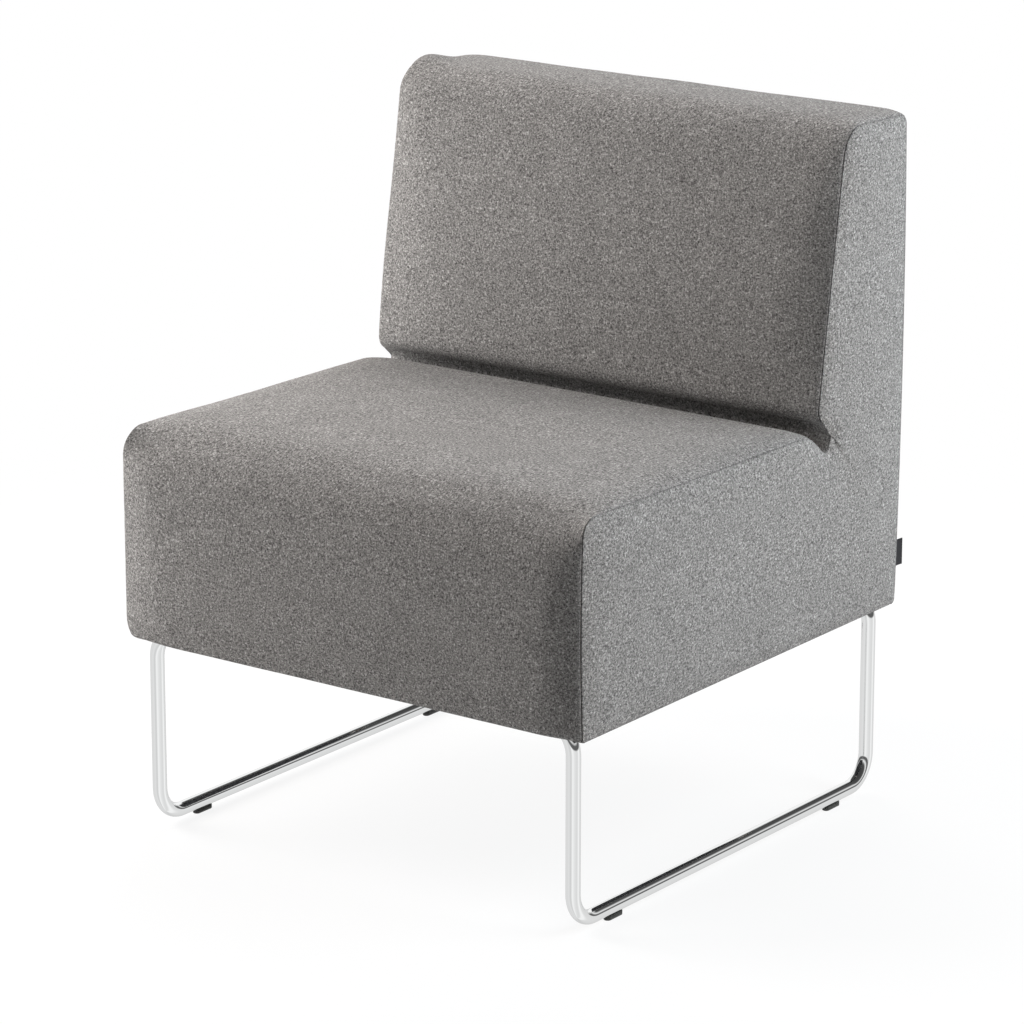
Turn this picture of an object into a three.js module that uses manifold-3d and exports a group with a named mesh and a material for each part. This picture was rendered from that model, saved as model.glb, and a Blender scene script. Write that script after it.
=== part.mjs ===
// An armless lounge chair: an L-shaped upholstered body on a sled base of bent chrome tube.
// Millimetres. x runs across the chair, y from its front to its rear, z up from the floor.

import * as THREE from 'three';
import { mergeVertices } from 'three/addons/utils/BufferGeometryUtils.js';
import Module from 'manifold-3d';

const wasm = await Module();
wasm.setup();

// Outline of the body, at the seam between the side panels and the strip of cover
const bodyWidth = 600;
const undersideHeight = 220;
const seatHeight = 458;
const seatFall = 3; // the seat drops this much towards the back
const creaseDrop = 31; // from the seat down to the bottom of the crease
const creaseSetback = 21; // the seat's rear face leans back this much on its way down
const creaseWidth = 24;
const noseSetback = 15; // seat's end to the lowest, foremost part of the back
const noseRise = 16; // from the seat up to that part of the back
const backRecline = THREE.MathUtils.degToRad(8.7);
const overallHeight = 780;
const topFall = 5; // the top drops this much towards the rear
const bodyDepth = 605;
const backBaseDepth = 185; // the place where the seat turns down, to the rear
const rearTuck = 3; // the rear face comes forward this much at its foot

// Radii of that outline's corners
const hemRadius = 4;
const seatFrontRadius = 20;
const seatRearRadius = 45;
const creaseRadius = 3;
const noseRadius = 20;
const backTopRadius = 22;
const backRearRadius = 20;

// How far the stuffed cover stands proud of the seams, and the width over which it rises
const frontCrown = 9;
const seatCrown = 7;
const backCrown = 8;
const topCrown = 5;
const rearCrown = 3;
const sideCrown = 4;
const hemEase = 3; // power with which a crown rises away from a hem
const rollWidth = 20;
const rollShare = 0.75; // part of a crown that is reached over the roll at the edges
const sideRollWidth = 16;

// Cover, foam and the clearance between pieces that touch
const coverThickness = 1.5;
const fitGap = 0.3;
const sidePadThickness = 3;
const frontPadThickness = 1.7; // at the side seams; the crown makes it thicker in the middle
const seatFoamThickness = 72;
const backFoamThickness = 45;
const rearPadThickness = 7;
const topFoamThickness = 15;
const dustCoverThickness = 1;
const dustCoverMargin = 2;

// Wooden frame
const sidePanelThickness = 12;
const railThickness = 18;
const baseBoardThickness = 16;
const seatRearRailHeight = 60;
const rearRailHeight = 60;
const topRailThickness = 18;
const backBoardThickness = 9;
const rearBoardThickness = 4;
const panelCornerRadius = 12;
const cornerBlockSide = 30;
const cornerBlockDrop = 50; // from the top of the rails down to the blocks

// Webbing
const strapCount = 5;
const strapWidth = 60;
const strapThickness = 2.5;
const strapMargin = 48; // outermost straps to the side panels

// Sled base
const tubeDiameter = 16;
const tubeWall = 1.5;
const tubeBendRadius = 35;
const legSideInset = 19.7; // side seam to the axis of a leg
const legFrontDepth = 12.3; // front seam to the axis of the front legs
const legRearInset = 26; // rear seam to the axis of the rear legs
const tubeSides = 12;
const bendSteps = 7;
const spigotLength = 90;
const jointGap = 0.3;

// Glides under the runners
const glideHeight = 5;
const glideLength = 28;
const glideWidth = 9;
const glideSetback = 72; // leg axis to the middle of the glide
const glideSeatRise = 2; // how far the glide's top rises beside the tube
const glidePinDiameter = 4.8;
const glidePinReach = 4; // into the tube, past the inside of its wall

// Plates that hold the cross tubes, and their screws
const clampLength = 30;
const clampReach = 40;
const clampThickness = 2;
const clampToBend = 65; // middle of an outer plate to where the tube starts to bend
const clampScrewSpread = 16;
const clampScrewSetback = 30; // tube axis to the screws
const clampCornerRadius = 4;
const screwShank = 3.5;
const screwHead = 8;
const screwHeadHeight = 1.8;
const screwLength = 14;
const screwTip = 2;
const screwHoleOverrun = 1;

// Label in the rear seam
const labelBottom = 263;
const labelHeight = 30;
const labelReach = 10;
const labelThickness = 1.2;

const arcStep = THREE.MathUtils.degToRad(24);
const cutOverrun = 2; // how far a cutting solid reaches past what it cuts

// Places that follow from those sizes
const seamHalf = bodyWidth / 2;
const seatDepth = bodyDepth - backBaseDepth;
const creaseHeight = seatHeight - creaseDrop;
const noseHeight = seatHeight + noseRise;
const legSpread = bodyWidth - 2 * legSideInset;
const legRearDepth = bodyDepth - legRearInset;
const clampOffset = legSpread / 2 - tubeBendRadius - clampToBend;
const coverHalf = seamHalf - coverThickness - fitGap;
const frameHalf = coverHalf - sidePadThickness - fitGap;
const sidePanelInner = frameHalf - sidePanelThickness;
const railHalf = sidePanelInner - fitGap;
const strapPitch = (2 * (railHalf - strapMargin) - strapWidth) / (strapCount - 1);
const skinDepth = coverThickness + fitGap;
const frameFront = skinDepth + frontPadThickness;
const foamFront = frameFront - fitGap;
const rearBoardRear = bodyDepth - rearTuck - skinDepth - rearPadThickness - fitGap;
const rearBoardFront = rearBoardRear - rearBoardThickness;
const frameRear = rearBoardFront - fitGap;
const seatFoamBottom = seatHeight - seatFoamThickness;
const strapTop = seatFoamBottom - fitGap;
const strapBottom = strapTop - strapThickness;
const railTop = strapBottom - fitGap;
const frameTop = overallHeight - topFall - topFoamThickness;
const tubeRadius = tubeDiameter / 2;
const runnerHeight = glideHeight + tubeRadius;
const dustCoverBottom = undersideHeight;
const dustCoverTop = dustCoverBottom + dustCoverThickness;
const clampBottom = dustCoverTop + fitGap + screwHeadHeight + fitGap;
const baseBoardBottom = clampBottom + clampThickness + fitGap;
const crossTubeHeight = baseBoardBottom + tubeRadius;
const frontRailBottom = crossTubeHeight + tubeRadius + fitGap;
const baseBoardFront = frameFront + railThickness + fitGap;
const baseBoardRear = frameRear - railThickness - fitGap;

// A closed body as a geometry, its triangles turned to face outwards
function closedBody(points, triangles) {
  let volume = 0;
  for (const [a, b, c] of triangles) volume += points[a].dot(points[b].clone().cross(points[c]));
  const faces = volume < 0 ? triangles.map(([a, b, c]) => [a, c, b]) : triangles;
  const geometry = new THREE.BufferGeometry().setFromPoints(points);
  geometry.setIndex(faces.flat());
  return geometry;
}

// Skin over a row of loops that have equally many points; its ends are closed by flat caps,
// or its last loop joins its first one when it goes round
function loft(loops, goesRound = false) {
  const size = loops[0].length;
  const triangles = [];
  const bands = goesRound ? loops.length : loops.length - 1;
  for (let i = 0; i < bands; i++) {
    const here = i * size;
    const there = ((i + 1) % loops.length) * size;
    for (let j = 0; j < size; j++) {
      const next = (j + 1) % size;
      triangles.push([here + j, there + j, there + next], [here + j, there + next, here + next]);
    }
  }
  if (!goesRound) {
    for (const [a, b, c] of flatCap(loops[0])) triangles.push([a, b, c]);
    const last = (loops.length - 1) * size;
    for (const [a, b, c] of flatCap(loops.at(-1))) triangles.push([last + a, last + c, last + b]);
  }
  return closedBody(loops.flat(), triangles);
}

// Triangles that fill a flat loop across x, turned the way its points go round
function flatCap(loop) {
  const flat = loop.map((p) => new THREE.Vector2(p.y, p.z));
  const triangles = THREE.ShapeUtils.triangulateShape(flat, []);
  const turnsAlike = THREE.ShapeUtils.isClockWise(triangles[0].map((k) => flat[k]))
    === THREE.ShapeUtils.isClockWise(flat);
  return turnsAlike ? triangles : triangles.map(([a, b, c]) => [a, c, b]);
}

// A sheet with thickness, from the grids of its outer and inner skins
function sheetBody(outer, inner) {
  const rows = outer.length;
  const columns = outer[0].length;
  const innerStart = rows * columns;
  const triangles = [];
  const cell = (a, b, c, d) => triangles.push([a, b, c], [a, c, d]);
  const at = (i, j) => i * columns + j;
  for (let i = 0; i + 1 < rows; i++) {
    for (let j = 0; j + 1 < columns; j++) {
      const [a, b, c, d] = [at(i, j), at(i + 1, j), at(i + 1, j + 1), at(i, j + 1)];
      triangles.push([a, b, c], [a, c, d]);
      triangles.push([innerStart + a, innerStart + c, innerStart + b]);
      triangles.push([innerStart + a, innerStart + d, innerStart + c]);
    }
  }
  for (let i = 0; i + 1 < rows; i++) {
    const [a, b] = [at(i, 0), at(i + 1, 0)];
    const [c, d] = [at(i, columns - 1), at(i + 1, columns - 1)];
    cell(b, a, innerStart + a, innerStart + b);
    cell(c, d, innerStart + d, innerStart + c);
  }
  for (let j = 0; j + 1 < columns; j++) {
    const [a, b] = [at(0, j), at(0, j + 1)];
    const [c, d] = [at(rows - 1, j), at(rows - 1, j + 1)];
    cell(a, b, innerStart + b, innerStart + a);
    cell(d, c, innerStart + c, innerStart + d);
  }
  return closedBody([...outer.flat(), ...inner.flat()], triangles);
}

// Boolean cuts and joins
function toSolid(geometry) {
  const bare = geometry.clone();
  bare.deleteAttribute('normal');
  bare.deleteAttribute('uv');
  const merged = mergeVertices(bare, fitGap / 1000);
  return new wasm.Manifold(new wasm.Mesh({
    numProp: 3,
    vertProperties: merged.attributes.position.array,
    triVerts: new Uint32Array(merged.index.array),
  }));
}

function toGeometry(solid) {
  const mesh = solid.getMesh();
  const geometry = new THREE.BufferGeometry();
  geometry.setAttribute('position', new THREE.BufferAttribute(mesh.vertProperties, mesh.numProp));
  geometry.setIndex(new THREE.BufferAttribute(mesh.triVerts, 1));
  return geometry;
}

function cut(geometry, tools) {
  let solid = toSolid(geometry);
  for (const tool of tools) solid = solid.subtract(toSolid(tool));
  return toGeometry(solid);
}

// A post of round section that stands on its foot
function post(radius, height, sides, foot) {
  const geometry = new THREE.CylinderGeometry(radius, radius, height, sides);
  geometry.rotateX(Math.PI / 2);
  geometry.translate(foot.x, foot.y, foot.z + height / 2);
  return geometry;
}

// A box between two corners
function block(low, high) {
  const size = high.clone().sub(low);
  const middle = high.clone().add(low).multiplyScalar(1 / 2);
  return new THREE.BoxGeometry(size.x, size.y, size.z).translate(middle.x, middle.y, middle.z);
}

// A board whose outline lies in the y and z directions, with its thickness along x
function boardAcross(outline, left, right) {
  const shape = new THREE.Shape(outline.map((p) => new THREE.Vector2(p.y, p.z)));
  const geometry = new THREE.ExtrudeGeometry(shape, { depth: right - left, bevelEnabled: false });
  const turn = new THREE.Matrix4().makeBasis(
    new THREE.Vector3(0, 1, 0), new THREE.Vector3(0, 0, 1), new THREE.Vector3(1, 0, 0));
  return geometry.applyMatrix4(turn).translate(left, 0, 0);
}

// How proud the cover stands part of the way round a corner: away from a hem it rises late
function crownWithin([from, to], share) {
  if (from === 0) return to * share ** hemEase;
  if (to === 0) return from * (1 - share) ** hemEase;
  return THREE.MathUtils.lerp(from, to, share);
}

// Outline with rounded corners, drawn inset by a distance: each sample has its place, the
// direction that faces out of the body, its corner's name and how proud the cover stands there
function roundedOutline(corners, inset = 0) {
  const samples = [];
  corners.forEach((corner, i) => {
    const before = corners.at(i - 1);
    const after = corners[(i + 1) % corners.length];
    const arrive = new THREE.Vector2(corner.y - before.y, corner.z - before.z).normalize();
    const leave = new THREE.Vector2(after.y - corner.y, after.z - corner.z).normalize();
    const turn = Math.atan2(arrive.cross(leave), arrive.dot(leave));
    const convex = turn < 0;
    const faceIn = new THREE.Vector2(-arrive.y, arrive.x);
    const faceOut = new THREE.Vector2(-leave.y, leave.x);
    const mitre = faceIn.clone().add(faceOut).multiplyScalar(-inset / (1 + faceIn.dot(faceOut)));
    const radius = Math.max(convex ? corner.r - inset : corner.r + inset, fitGap);
    const tip = new THREE.Vector2(corner.y, corner.z).add(mitre);
    const start = tip.addScaledVector(arrive, -radius * Math.tan(Math.abs(turn) / 2));
    const side = convex ? -1 : 1;
    const centre = start.clone().addScaledVector(faceIn, side * radius);
    const steps = Math.ceil(Math.abs(turn) / arcStep);
    for (let k = 0; k <= steps; k++) {
      const face = faceIn.clone().rotateAround(new THREE.Vector2(), (turn * k) / steps);
      samples.push({
        y: centre.x - side * face.x * radius,
        z: centre.y - side * face.y * radius,
        ny: face.x,
        nz: face.y,
        corner: corner.name,
        crown: crownWithin(corner.crowns, k / steps),
      });
    }
  });
  return samples;
}

const noseDepth = seatDepth + noseSetback;
const backTopDepth = noseDepth + (overallHeight - noseHeight) * Math.tan(backRecline);
const creaseFrontDepth = seatDepth + creaseSetback;
const creaseRearDepth = creaseFrontDepth + creaseWidth;
const seatRearHeight = seatHeight - seatFall;
const rearHeight = overallHeight - topFall;
const rearHemDepth = bodyDepth - rearTuck;
const bodyCorners = [
  { name: 'frontHem', y: 0, z: undersideHeight, r: hemRadius, crowns: [0, frontCrown] },
  { name: 'seatFront', y: 0, z: seatHeight, r: seatFrontRadius, crowns: [frontCrown, seatCrown] },
  { name: 'seatRear', y: seatDepth, z: seatRearHeight, r: seatRearRadius, crowns: [seatCrown, seatCrown] },
  { name: 'creaseFront', y: creaseFrontDepth, z: creaseHeight, r: creaseRadius, crowns: [0, 0] },
  { name: 'creaseRear', y: creaseRearDepth, z: creaseHeight, r: creaseRadius, crowns: [0, 0] },
  { name: 'nose', y: noseDepth, z: noseHeight, r: noseRadius, crowns: [seatCrown, backCrown] },
  { name: 'backTop', y: backTopDepth, z: overallHeight, r: backTopRadius, crowns: [backCrown, topCrown] },
  { name: 'backRear', y: bodyDepth, z: rearHeight, r: backRearRadius, crowns: [topCrown, rearCrown] },
  { name: 'rearHem', y: rearHemDepth, z: undersideHeight, r: hemRadius, crowns: [rearCrown, 0] },
];
const bodyOutline = roundedOutline(bodyCorners);

// The samples from the start of one corner to the end of another
function between(first, last) {
  const names = bodyOutline.map((s) => s.corner);
  return bodyOutline.slice(names.indexOf(first), names.lastIndexOf(last) + 1);
}

// A sample part of the way along the straight stretch that follows a corner
function alongStraight(corner, share) {
  const end = bodyOutline.findLastIndex((s) => s.corner === corner);
  const [a, b] = [bodyOutline[end], bodyOutline[(end + 1) % bodyOutline.length]];
  const mix = (key) => THREE.MathUtils.lerp(a[key], b[key], share);
  return { ...a, y: mix('y'), z: mix('z'), crown: mix('crown') };
}

// Share of that stretch at which it reaches a height
function shareAtHeight(corner, height) {
  const end = bodyOutline.findLastIndex((s) => s.corner === corner);
  const [a, b] = [bodyOutline[end], bodyOutline[(end + 1) % bodyOutline.length]];
  return (height - a.z) / (b.z - a.z);
}

// Share of the crown at a distance across the chair: a quarter round at the edges, then a slow rise
function crownShare(x) {
  const fromEdge = Math.min((coverHalf - Math.abs(x)) / rollWidth, 1);
  const across = x / coverHalf;
  return rollShare * Math.sqrt(1 - (1 - fromEdge) ** 2) + (1 - rollShare) * (1 - across ** 2);
}

// The point of the stuffed cover's outer face over a sample, sunk by a depth
function skinPoint(sample, x, depth) {
  const lift = sample.crown * crownShare(x) - depth;
  return new THREE.Vector3(x, sample.y + sample.ny * lift, sample.z + sample.nz * lift);
}

// Places across the chair: close together on the roll at each edge
const rollSteps = [0.35, 0.62, 1].map((share) => share * rollWidth);
const spanSteps = [0.3, 0.63, 1].map((share) => share * coverHalf);
const halfColumns = [0, coverHalf - frameHalf, ...rollSteps, ...spanSteps].map((s) => coverHalf - s);
const coverColumns = [...halfColumns.map((x) => -x), ...halfColumns.slice(0, -1).reverse()];
const foamColumns = coverColumns.filter((x) => Math.abs(x) < (coverHalf + frameHalf) / 2);

function coverStrip(samples) {
  const skin = (depth) => samples.map((s) => coverColumns.map((x) => skinPoint(s, x, depth)));
  return sheetBody(skin(0), skin(coverThickness));
}

// Foam under a stretch of cover, closed behind by points that are the same right across
function foamUnder(samples, behind) {
  return loft(foamColumns.map((x) => [
    ...samples.map((s) => skinPoint(s, x, skinDepth)),
    ...behind.map((p) => new THREE.Vector3(x, p.y, p.z)),
  ]));
}

// Covers: the long strip, the rear, and the two side panels
const rearStart = fitGap / (rearHeight - undersideHeight);

function mainCover() {
  return coverStrip(between('frontHem', 'backRear'));
}

function rearCover() {
  return coverStrip([alongStraight('backRear', rearStart), ...between('rearHem', 'rearHem')]);
}

// Distances in from the seam at which a side panel is drawn
const sideInsets = [0, skinDepth, ...[0.35, 0.65, 1].map((share) => share * sideRollWidth)];

function sideFace(inset) {
  return seamHalf + sideCrown * Math.sqrt(1 - (1 - inset / sideRollWidth) ** 2);
}

function sideLoop(inset, x) {
  return roundedOutline(bodyCorners, inset).map((s) => new THREE.Vector3(x, s.y, s.z));
}

function sideCover(side) {
  const outer = sideInsets.map((d) => sideLoop(d, side * sideFace(d)));
  const inner = sideInsets.map((d) => sideLoop(d, side * (sideFace(d) - coverThickness)));
  return loft([...outer.reverse(), ...inner]);
}

function sidePad(side) {
  const padInsets = sideInsets.slice(1);
  const outer = padInsets.map((d) => sideLoop(d, side * (sideFace(d) - skinDepth)));
  return loft([sideLoop(skinDepth, side * (frameHalf + fitGap)), ...outer]);
}

// Foam
const creaseMiddle = alongStraight('creaseFront', 1 / 2);
const boardRun = backFoamThickness / Math.cos(backRecline);
const boardSlope = Math.tan(backRecline);
const boardRise = backBoardThickness / Math.cos(backRecline);

// Depth of the back board's front face at a height
function boardFront(height) {
  return noseDepth + boardRun + (height - noseHeight) * boardSlope;
}

function frontPad() {
  const top = shareAtHeight('frontHem', strapTop);
  const foot = alongStraight('frontHem', 0);
  return foamUnder([foot, alongStraight('frontHem', top)], [
    { y: foamFront, z: strapTop },
    { y: foamFront, z: foot.z },
  ]);
}

function seatFoam() {
  const start = alongStraight('frontHem', shareAtHeight('frontHem', seatFoamBottom));
  const end = { ...creaseMiddle, y: creaseMiddle.y - fitGap / 2 };
  return foamUnder([start, ...between('seatFront', 'creaseFront'), end], [
    { y: end.y, z: seatFoamBottom },
  ]);
}

function backFoam() {
  const start = { ...creaseMiddle, y: creaseMiddle.y + fitGap / 2 };
  const rear = rearBoardRear + fitGap;
  const foot = bodyOutline.findLast((s) => s.corner === 'backRear').z;
  return foamUnder([start, ...between('creaseRear', 'backRear')], [
    { y: rear, z: foot },
    { y: rear, z: frameTop + fitGap },
    { y: boardFront(frameTop + fitGap) - fitGap, z: frameTop + fitGap },
    { y: boardFront(seatFoamBottom) - fitGap, z: seatFoamBottom },
    { y: start.y, z: seatFoamBottom },
  ]);
}

function rearPad() {
  const front = rearBoardRear + fitGap;
  const height = bodyOutline.findLast((s) => s.corner === 'backRear').z - fitGap;
  const start = alongStraight('backRear', shareAtHeight('backRear', height));
  return foamUnder([start, ...between('rearHem', 'rearHem')], [
    { y: front, z: undersideHeight + skinDepth },
    { y: front, z: height },
  ]);
}

// Wooden frame
function sidePanel(side) {
  const corners = [
    { y: frameFront, z: baseBoardBottom, r: fitGap },
    { y: frameFront, z: strapTop, r: panelCornerRadius },
    { y: boardFront(strapTop), z: strapTop, r: fitGap },
    { y: boardFront(frameTop), z: frameTop, r: panelCornerRadius },
    { y: frameRear, z: frameTop, r: panelCornerRadius },
    { y: frameRear, z: baseBoardBottom, r: fitGap },
  ].map((c) => ({ ...c, crowns: [0, 0] }));
  const middle = side * (sidePanelInner + sidePanelThickness / 2);
  const half = sidePanelThickness / 2;
  return boardAcross(roundedOutline(corners), middle - half, middle + half);
}

function railBetweenSides(front, bottom, rear, top) {
  return block(new THREE.Vector3(-railHalf, front, bottom), new THREE.Vector3(railHalf, rear, top));
}

function frontRail() {
  return railBetweenSides(frameFront, frontRailBottom, frameFront + railThickness, railTop);
}

function rearRail() {
  const top = frontRailBottom + rearRailHeight;
  return railBetweenSides(frameRear - railThickness, frontRailBottom, frameRear, top);
}

const seatRearRailFront = boardFront(railTop) - railThickness;

function seatRearRail() {
  const bottom = railTop - seatRearRailHeight;
  return railBetweenSides(seatRearRailFront, bottom, seatRearRailFront + railThickness, railTop);
}

function topRail() {
  const front = boardFront(frameTop) + boardRise + fitGap;
  return railBetweenSides(front, frameTop - topRailThickness, frameRear, frameTop);
}

function backBoard() {
  const outline = [
    { y: boardFront(seatFoamBottom), z: seatFoamBottom },
    { y: boardFront(frameTop), z: frameTop },
    { y: boardFront(frameTop) + boardRise, z: frameTop },
    { y: boardFront(seatFoamBottom) + boardRise, z: seatFoamBottom },
  ];
  return boardAcross(outline, -railHalf, railHalf);
}

function rearBoard() {
  return block(new THREE.Vector3(-frameHalf, rearBoardFront, baseBoardBottom),
    new THREE.Vector3(frameHalf, rearBoardRear, frameTop));
}

function cornerBlock(side, atFront) {
  const outer = side * railHalf;
  const inner = side * (railHalf - cornerBlockSide);
  const [left, right] = [Math.min(outer, inner), Math.max(outer, inner)];
  const front = atFront ? baseBoardFront : baseBoardRear - cornerBlockSide;
  const bottom = baseBoardBottom + baseBoardThickness + fitGap;
  return block(new THREE.Vector3(left, front, bottom),
    new THREE.Vector3(right, front + cornerBlockSide, railTop - cornerBlockDrop));
}

function strap(index) {
  const middle = (index - (strapCount - 1) / 2) * strapPitch;
  return block(new THREE.Vector3(middle - strapWidth / 2, frameFront, strapBottom),
    new THREE.Vector3(middle + strapWidth / 2, seatRearRailFront + railThickness, strapTop));
}

// Screws and plates under the cross tubes
const clampPlaces = [-clampOffset, 0, clampOffset];
const crossTubes = [
  { name: 'front', depth: legFrontDepth, inward: 1 },
  { name: 'rear', depth: legRearDepth, inward: -1 },
];
const screwPlaces = crossTubes.flatMap((tube) => clampPlaces.flatMap((place) =>
  [-1, 1].map((side) => new THREE.Vector3(
    place + (side * clampScrewSpread) / 2,
    tube.depth + tube.inward * clampScrewSetback,
    clampBottom))));

function baseBoard() {
  const board = railBetweenSides(
    baseBoardFront, baseBoardBottom, baseBoardRear, baseBoardBottom + baseBoardThickness);
  const depth = screwLength - clampThickness + screwHoleOverrun;
  const holes = screwPlaces.map((p) => post(screwShank / 2 + fitGap, depth + cutOverrun, tubeSides,
    new THREE.Vector3(p.x, p.y, baseBoardBottom - cutOverrun)));
  return cut(board, holes);
}

// A flat plate from just outside the tube to behind its two screws
function tubeClamp(tube, place) {
  const outer = -tubeRadius;
  const half = clampLength / 2;
  const [a, b] = [outer, outer + clampReach].map((d) => tube.depth + tube.inward * d).sort((p, q) => p - q);
  const shape = new THREE.Shape();
  const r = clampCornerRadius;
  shape.moveTo(-half + r, a).lineTo(half - r, a).quadraticCurveTo(half, a, half, a + r);
  shape.lineTo(half, b - r).quadraticCurveTo(half, b, half - r, b);
  shape.lineTo(-half + r, b).quadraticCurveTo(-half, b, -half, b - r);
  shape.lineTo(-half, a + r).quadraticCurveTo(-half, a, -half + r, a);
  for (const side of [-1, 1]) {
    const hole = new THREE.Path();
    hole.absarc((side * clampScrewSpread) / 2, tube.depth + tube.inward * clampScrewSetback,
      screwShank / 2 + fitGap, 0, 2 * Math.PI, true);
    shape.holes.push(hole);
  }
  const geometry = new THREE.ExtrudeGeometry(shape,
    { depth: clampThickness, bevelEnabled: false, curveSegments: bendSteps });
  return geometry.translate(place, 0, clampBottom);
}

function woodScrew(place) {
  const profile = [
    [0, -fitGap - screwHeadHeight],
    [screwHead / 3, -fitGap - screwHeadHeight],
    [screwHead / 2, -fitGap - screwHeadHeight / 3],
    [screwHead / 2, -fitGap],
    [screwShank / 2, -fitGap],
    [screwShank / 2, screwLength - fitGap - screwTip],
    [0, screwLength - fitGap],
  ].map(([radius, height]) => new THREE.Vector2(radius, height));
  const geometry = new THREE.LatheGeometry(profile, tubeSides);
  return geometry.rotateX(Math.PI / 2).translate(place.x, place.y, place.z);
}

// Sled base: each half is one bent tube that runs from the middle of the front cross tube,
// down the front leg, along the runner, up the rear leg and back to the middle at the rear
function tubeStations(corners) {
  let heading = corners[1].clone().sub(corners[0]).normalize();
  let up = new THREE.Vector3(0, 0, 1);
  const stations = [{ at: corners[0], heading, up }];
  for (let i = 1; i + 1 < corners.length; i++) {
    const next = corners[i + 1].clone().sub(corners[i]).normalize();
    const axis = heading.clone().cross(next).normalize();
    const turn = heading.angleTo(next);
    const start = corners[i].clone().addScaledVector(heading, -tubeBendRadius * Math.tan(turn / 2));
    const centre = start.clone().addScaledVector(axis.clone().cross(heading), tubeBendRadius);
    for (let k = 0; k <= bendSteps; k++) {
      const turned = (v) => v.clone().applyAxisAngle(axis, (turn * k) / bendSteps);
      stations.push({
        at: turned(start.clone().sub(centre)).add(centre), heading: turned(heading), up: turned(up),
      });
    }
    up = up.clone().applyAxisAngle(axis, turn);
    heading = next;
  }
  stations.push({ at: corners.at(-1), heading, up });
  return stations;
}

function tubeRing(station, radius) {
  const across = station.heading.clone().cross(station.up);
  return Array.from({ length: tubeSides }, (_, k) => {
    const angle = (2 * Math.PI * (k + 1 / 2)) / tubeSides;
    return station.at.clone()
      .addScaledVector(station.up, radius * Math.cos(angle))
      .addScaledVector(across, radius * Math.sin(angle));
  });
}

const glidePlaces = [
  { name: 'front', depth: legFrontDepth + glideSetback },
  { name: 'rear', depth: legRearDepth - glideSetback },
];

function sledTube(side) {
  const leg = (side * legSpread) / 2;
  const middle = (side * jointGap) / 2;
  const stations = tubeStations([
    new THREE.Vector3(middle, legFrontDepth, crossTubeHeight),
    new THREE.Vector3(leg, legFrontDepth, crossTubeHeight),
    new THREE.Vector3(leg, legFrontDepth, runnerHeight),
    new THREE.Vector3(leg, legRearDepth, runnerHeight),
    new THREE.Vector3(leg, legRearDepth, crossTubeHeight),
    new THREE.Vector3(middle, legRearDepth, crossTubeHeight),
  ]);
  const outside = stations.map((s) => tubeRing(s, tubeRadius));
  const inside = stations.map((s) => tubeRing(s, tubeRadius - tubeWall));
  const holes = glidePlaces.map((g) => post(glidePinDiameter / 2 + fitGap, tubeRadius + cutOverrun, tubeSides,
    new THREE.Vector3(leg, g.depth, glideHeight - cutOverrun)));
  return cut(loft([...outside, ...inside.reverse()], true), holes);
}

function tubeSpigot(tube) {
  const flatToFlat = Math.cos(Math.PI / tubeSides);
  const radius = (tubeRadius - tubeWall) * flatToFlat - fitGap;
  const geometry = new THREE.CylinderGeometry(radius, radius, spigotLength, tubeSides);
  return geometry.rotateZ(Math.PI / 2).translate(0, tube.depth, crossTubeHeight);
}

// A glide hugs the underside of its runner and is held by a moulded pin
function glide(side, place) {
  const leg = (side * legSpread) / 2;
  const half = glideLength / 2 - glideWidth / 2;
  const r = glideWidth / 2;
  const shape = new THREE.Shape();
  shape.absarc(0, half, r, 0, Math.PI, false);
  shape.absarc(0, -half, r, Math.PI, 2 * Math.PI, false);
  const sole = new THREE.ExtrudeGeometry(shape,
    { depth: glideHeight + glideSeatRise, bevelEnabled: false, curveSegments: bendSteps });
  sole.translate(leg, place.depth, 0);
  const seat = new THREE.CylinderGeometry(
    tubeRadius + fitGap, tubeRadius + fitGap, glideLength + cutOverrun, 2 * tubeSides);
  seat.translate(leg, place.depth, runnerHeight);
  const pin = post(glidePinDiameter / 2, tubeWall + glidePinReach + fitGap + glideHeight / 2, tubeSides,
    new THREE.Vector3(leg, place.depth, glideHeight / 2));
  return toGeometry(toSolid(cut(sole, [seat])).add(toSolid(pin)));
}

// A sheet under the body, notched where the legs come down
function dustCover() {
  const half = coverHalf - dustCoverMargin;
  const front = hemRadius + fitGap;
  const rear = bodyDepth - rearTuck - hemRadius - fitGap;
  const legOuter = legSpread / 2 + tubeRadius + fitGap;
  const legInner = legSpread / 2 - tubeBendRadius;
  const frontNotch = legFrontDepth + tubeRadius + dustCoverMargin;
  const rearNotch = legRearDepth - tubeRadius - dustCoverMargin;
  const right = [
    [legInner, front], [legInner, frontNotch], [legOuter, frontNotch], [legOuter, front], [half, front],
    [half, rear], [legOuter, rear], [legOuter, rearNotch], [legInner, rearNotch], [legInner, rear],
  ];
  const left = right.map(([x, y]) => [-x, y]).reverse();
  const shape = new THREE.Shape([...right, ...left].map(([x, y]) => new THREE.Vector2(x, y)));
  const geometry = new THREE.ExtrudeGeometry(shape, { depth: dustCoverThickness, bevelEnabled: false });
  return geometry.translate(0, 0, dustCoverBottom);
}

// The folded label stands out of the seam between the right side and the rear
function label() {
  const height = labelBottom + labelHeight;
  const start = alongStraight('backRear', shareAtHeight('backRear', height)).y + fitGap;
  return block(new THREE.Vector3(seamHalf - labelThickness, start, labelBottom),
    new THREE.Vector3(seamHalf, start + labelReach, height));
}

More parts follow.
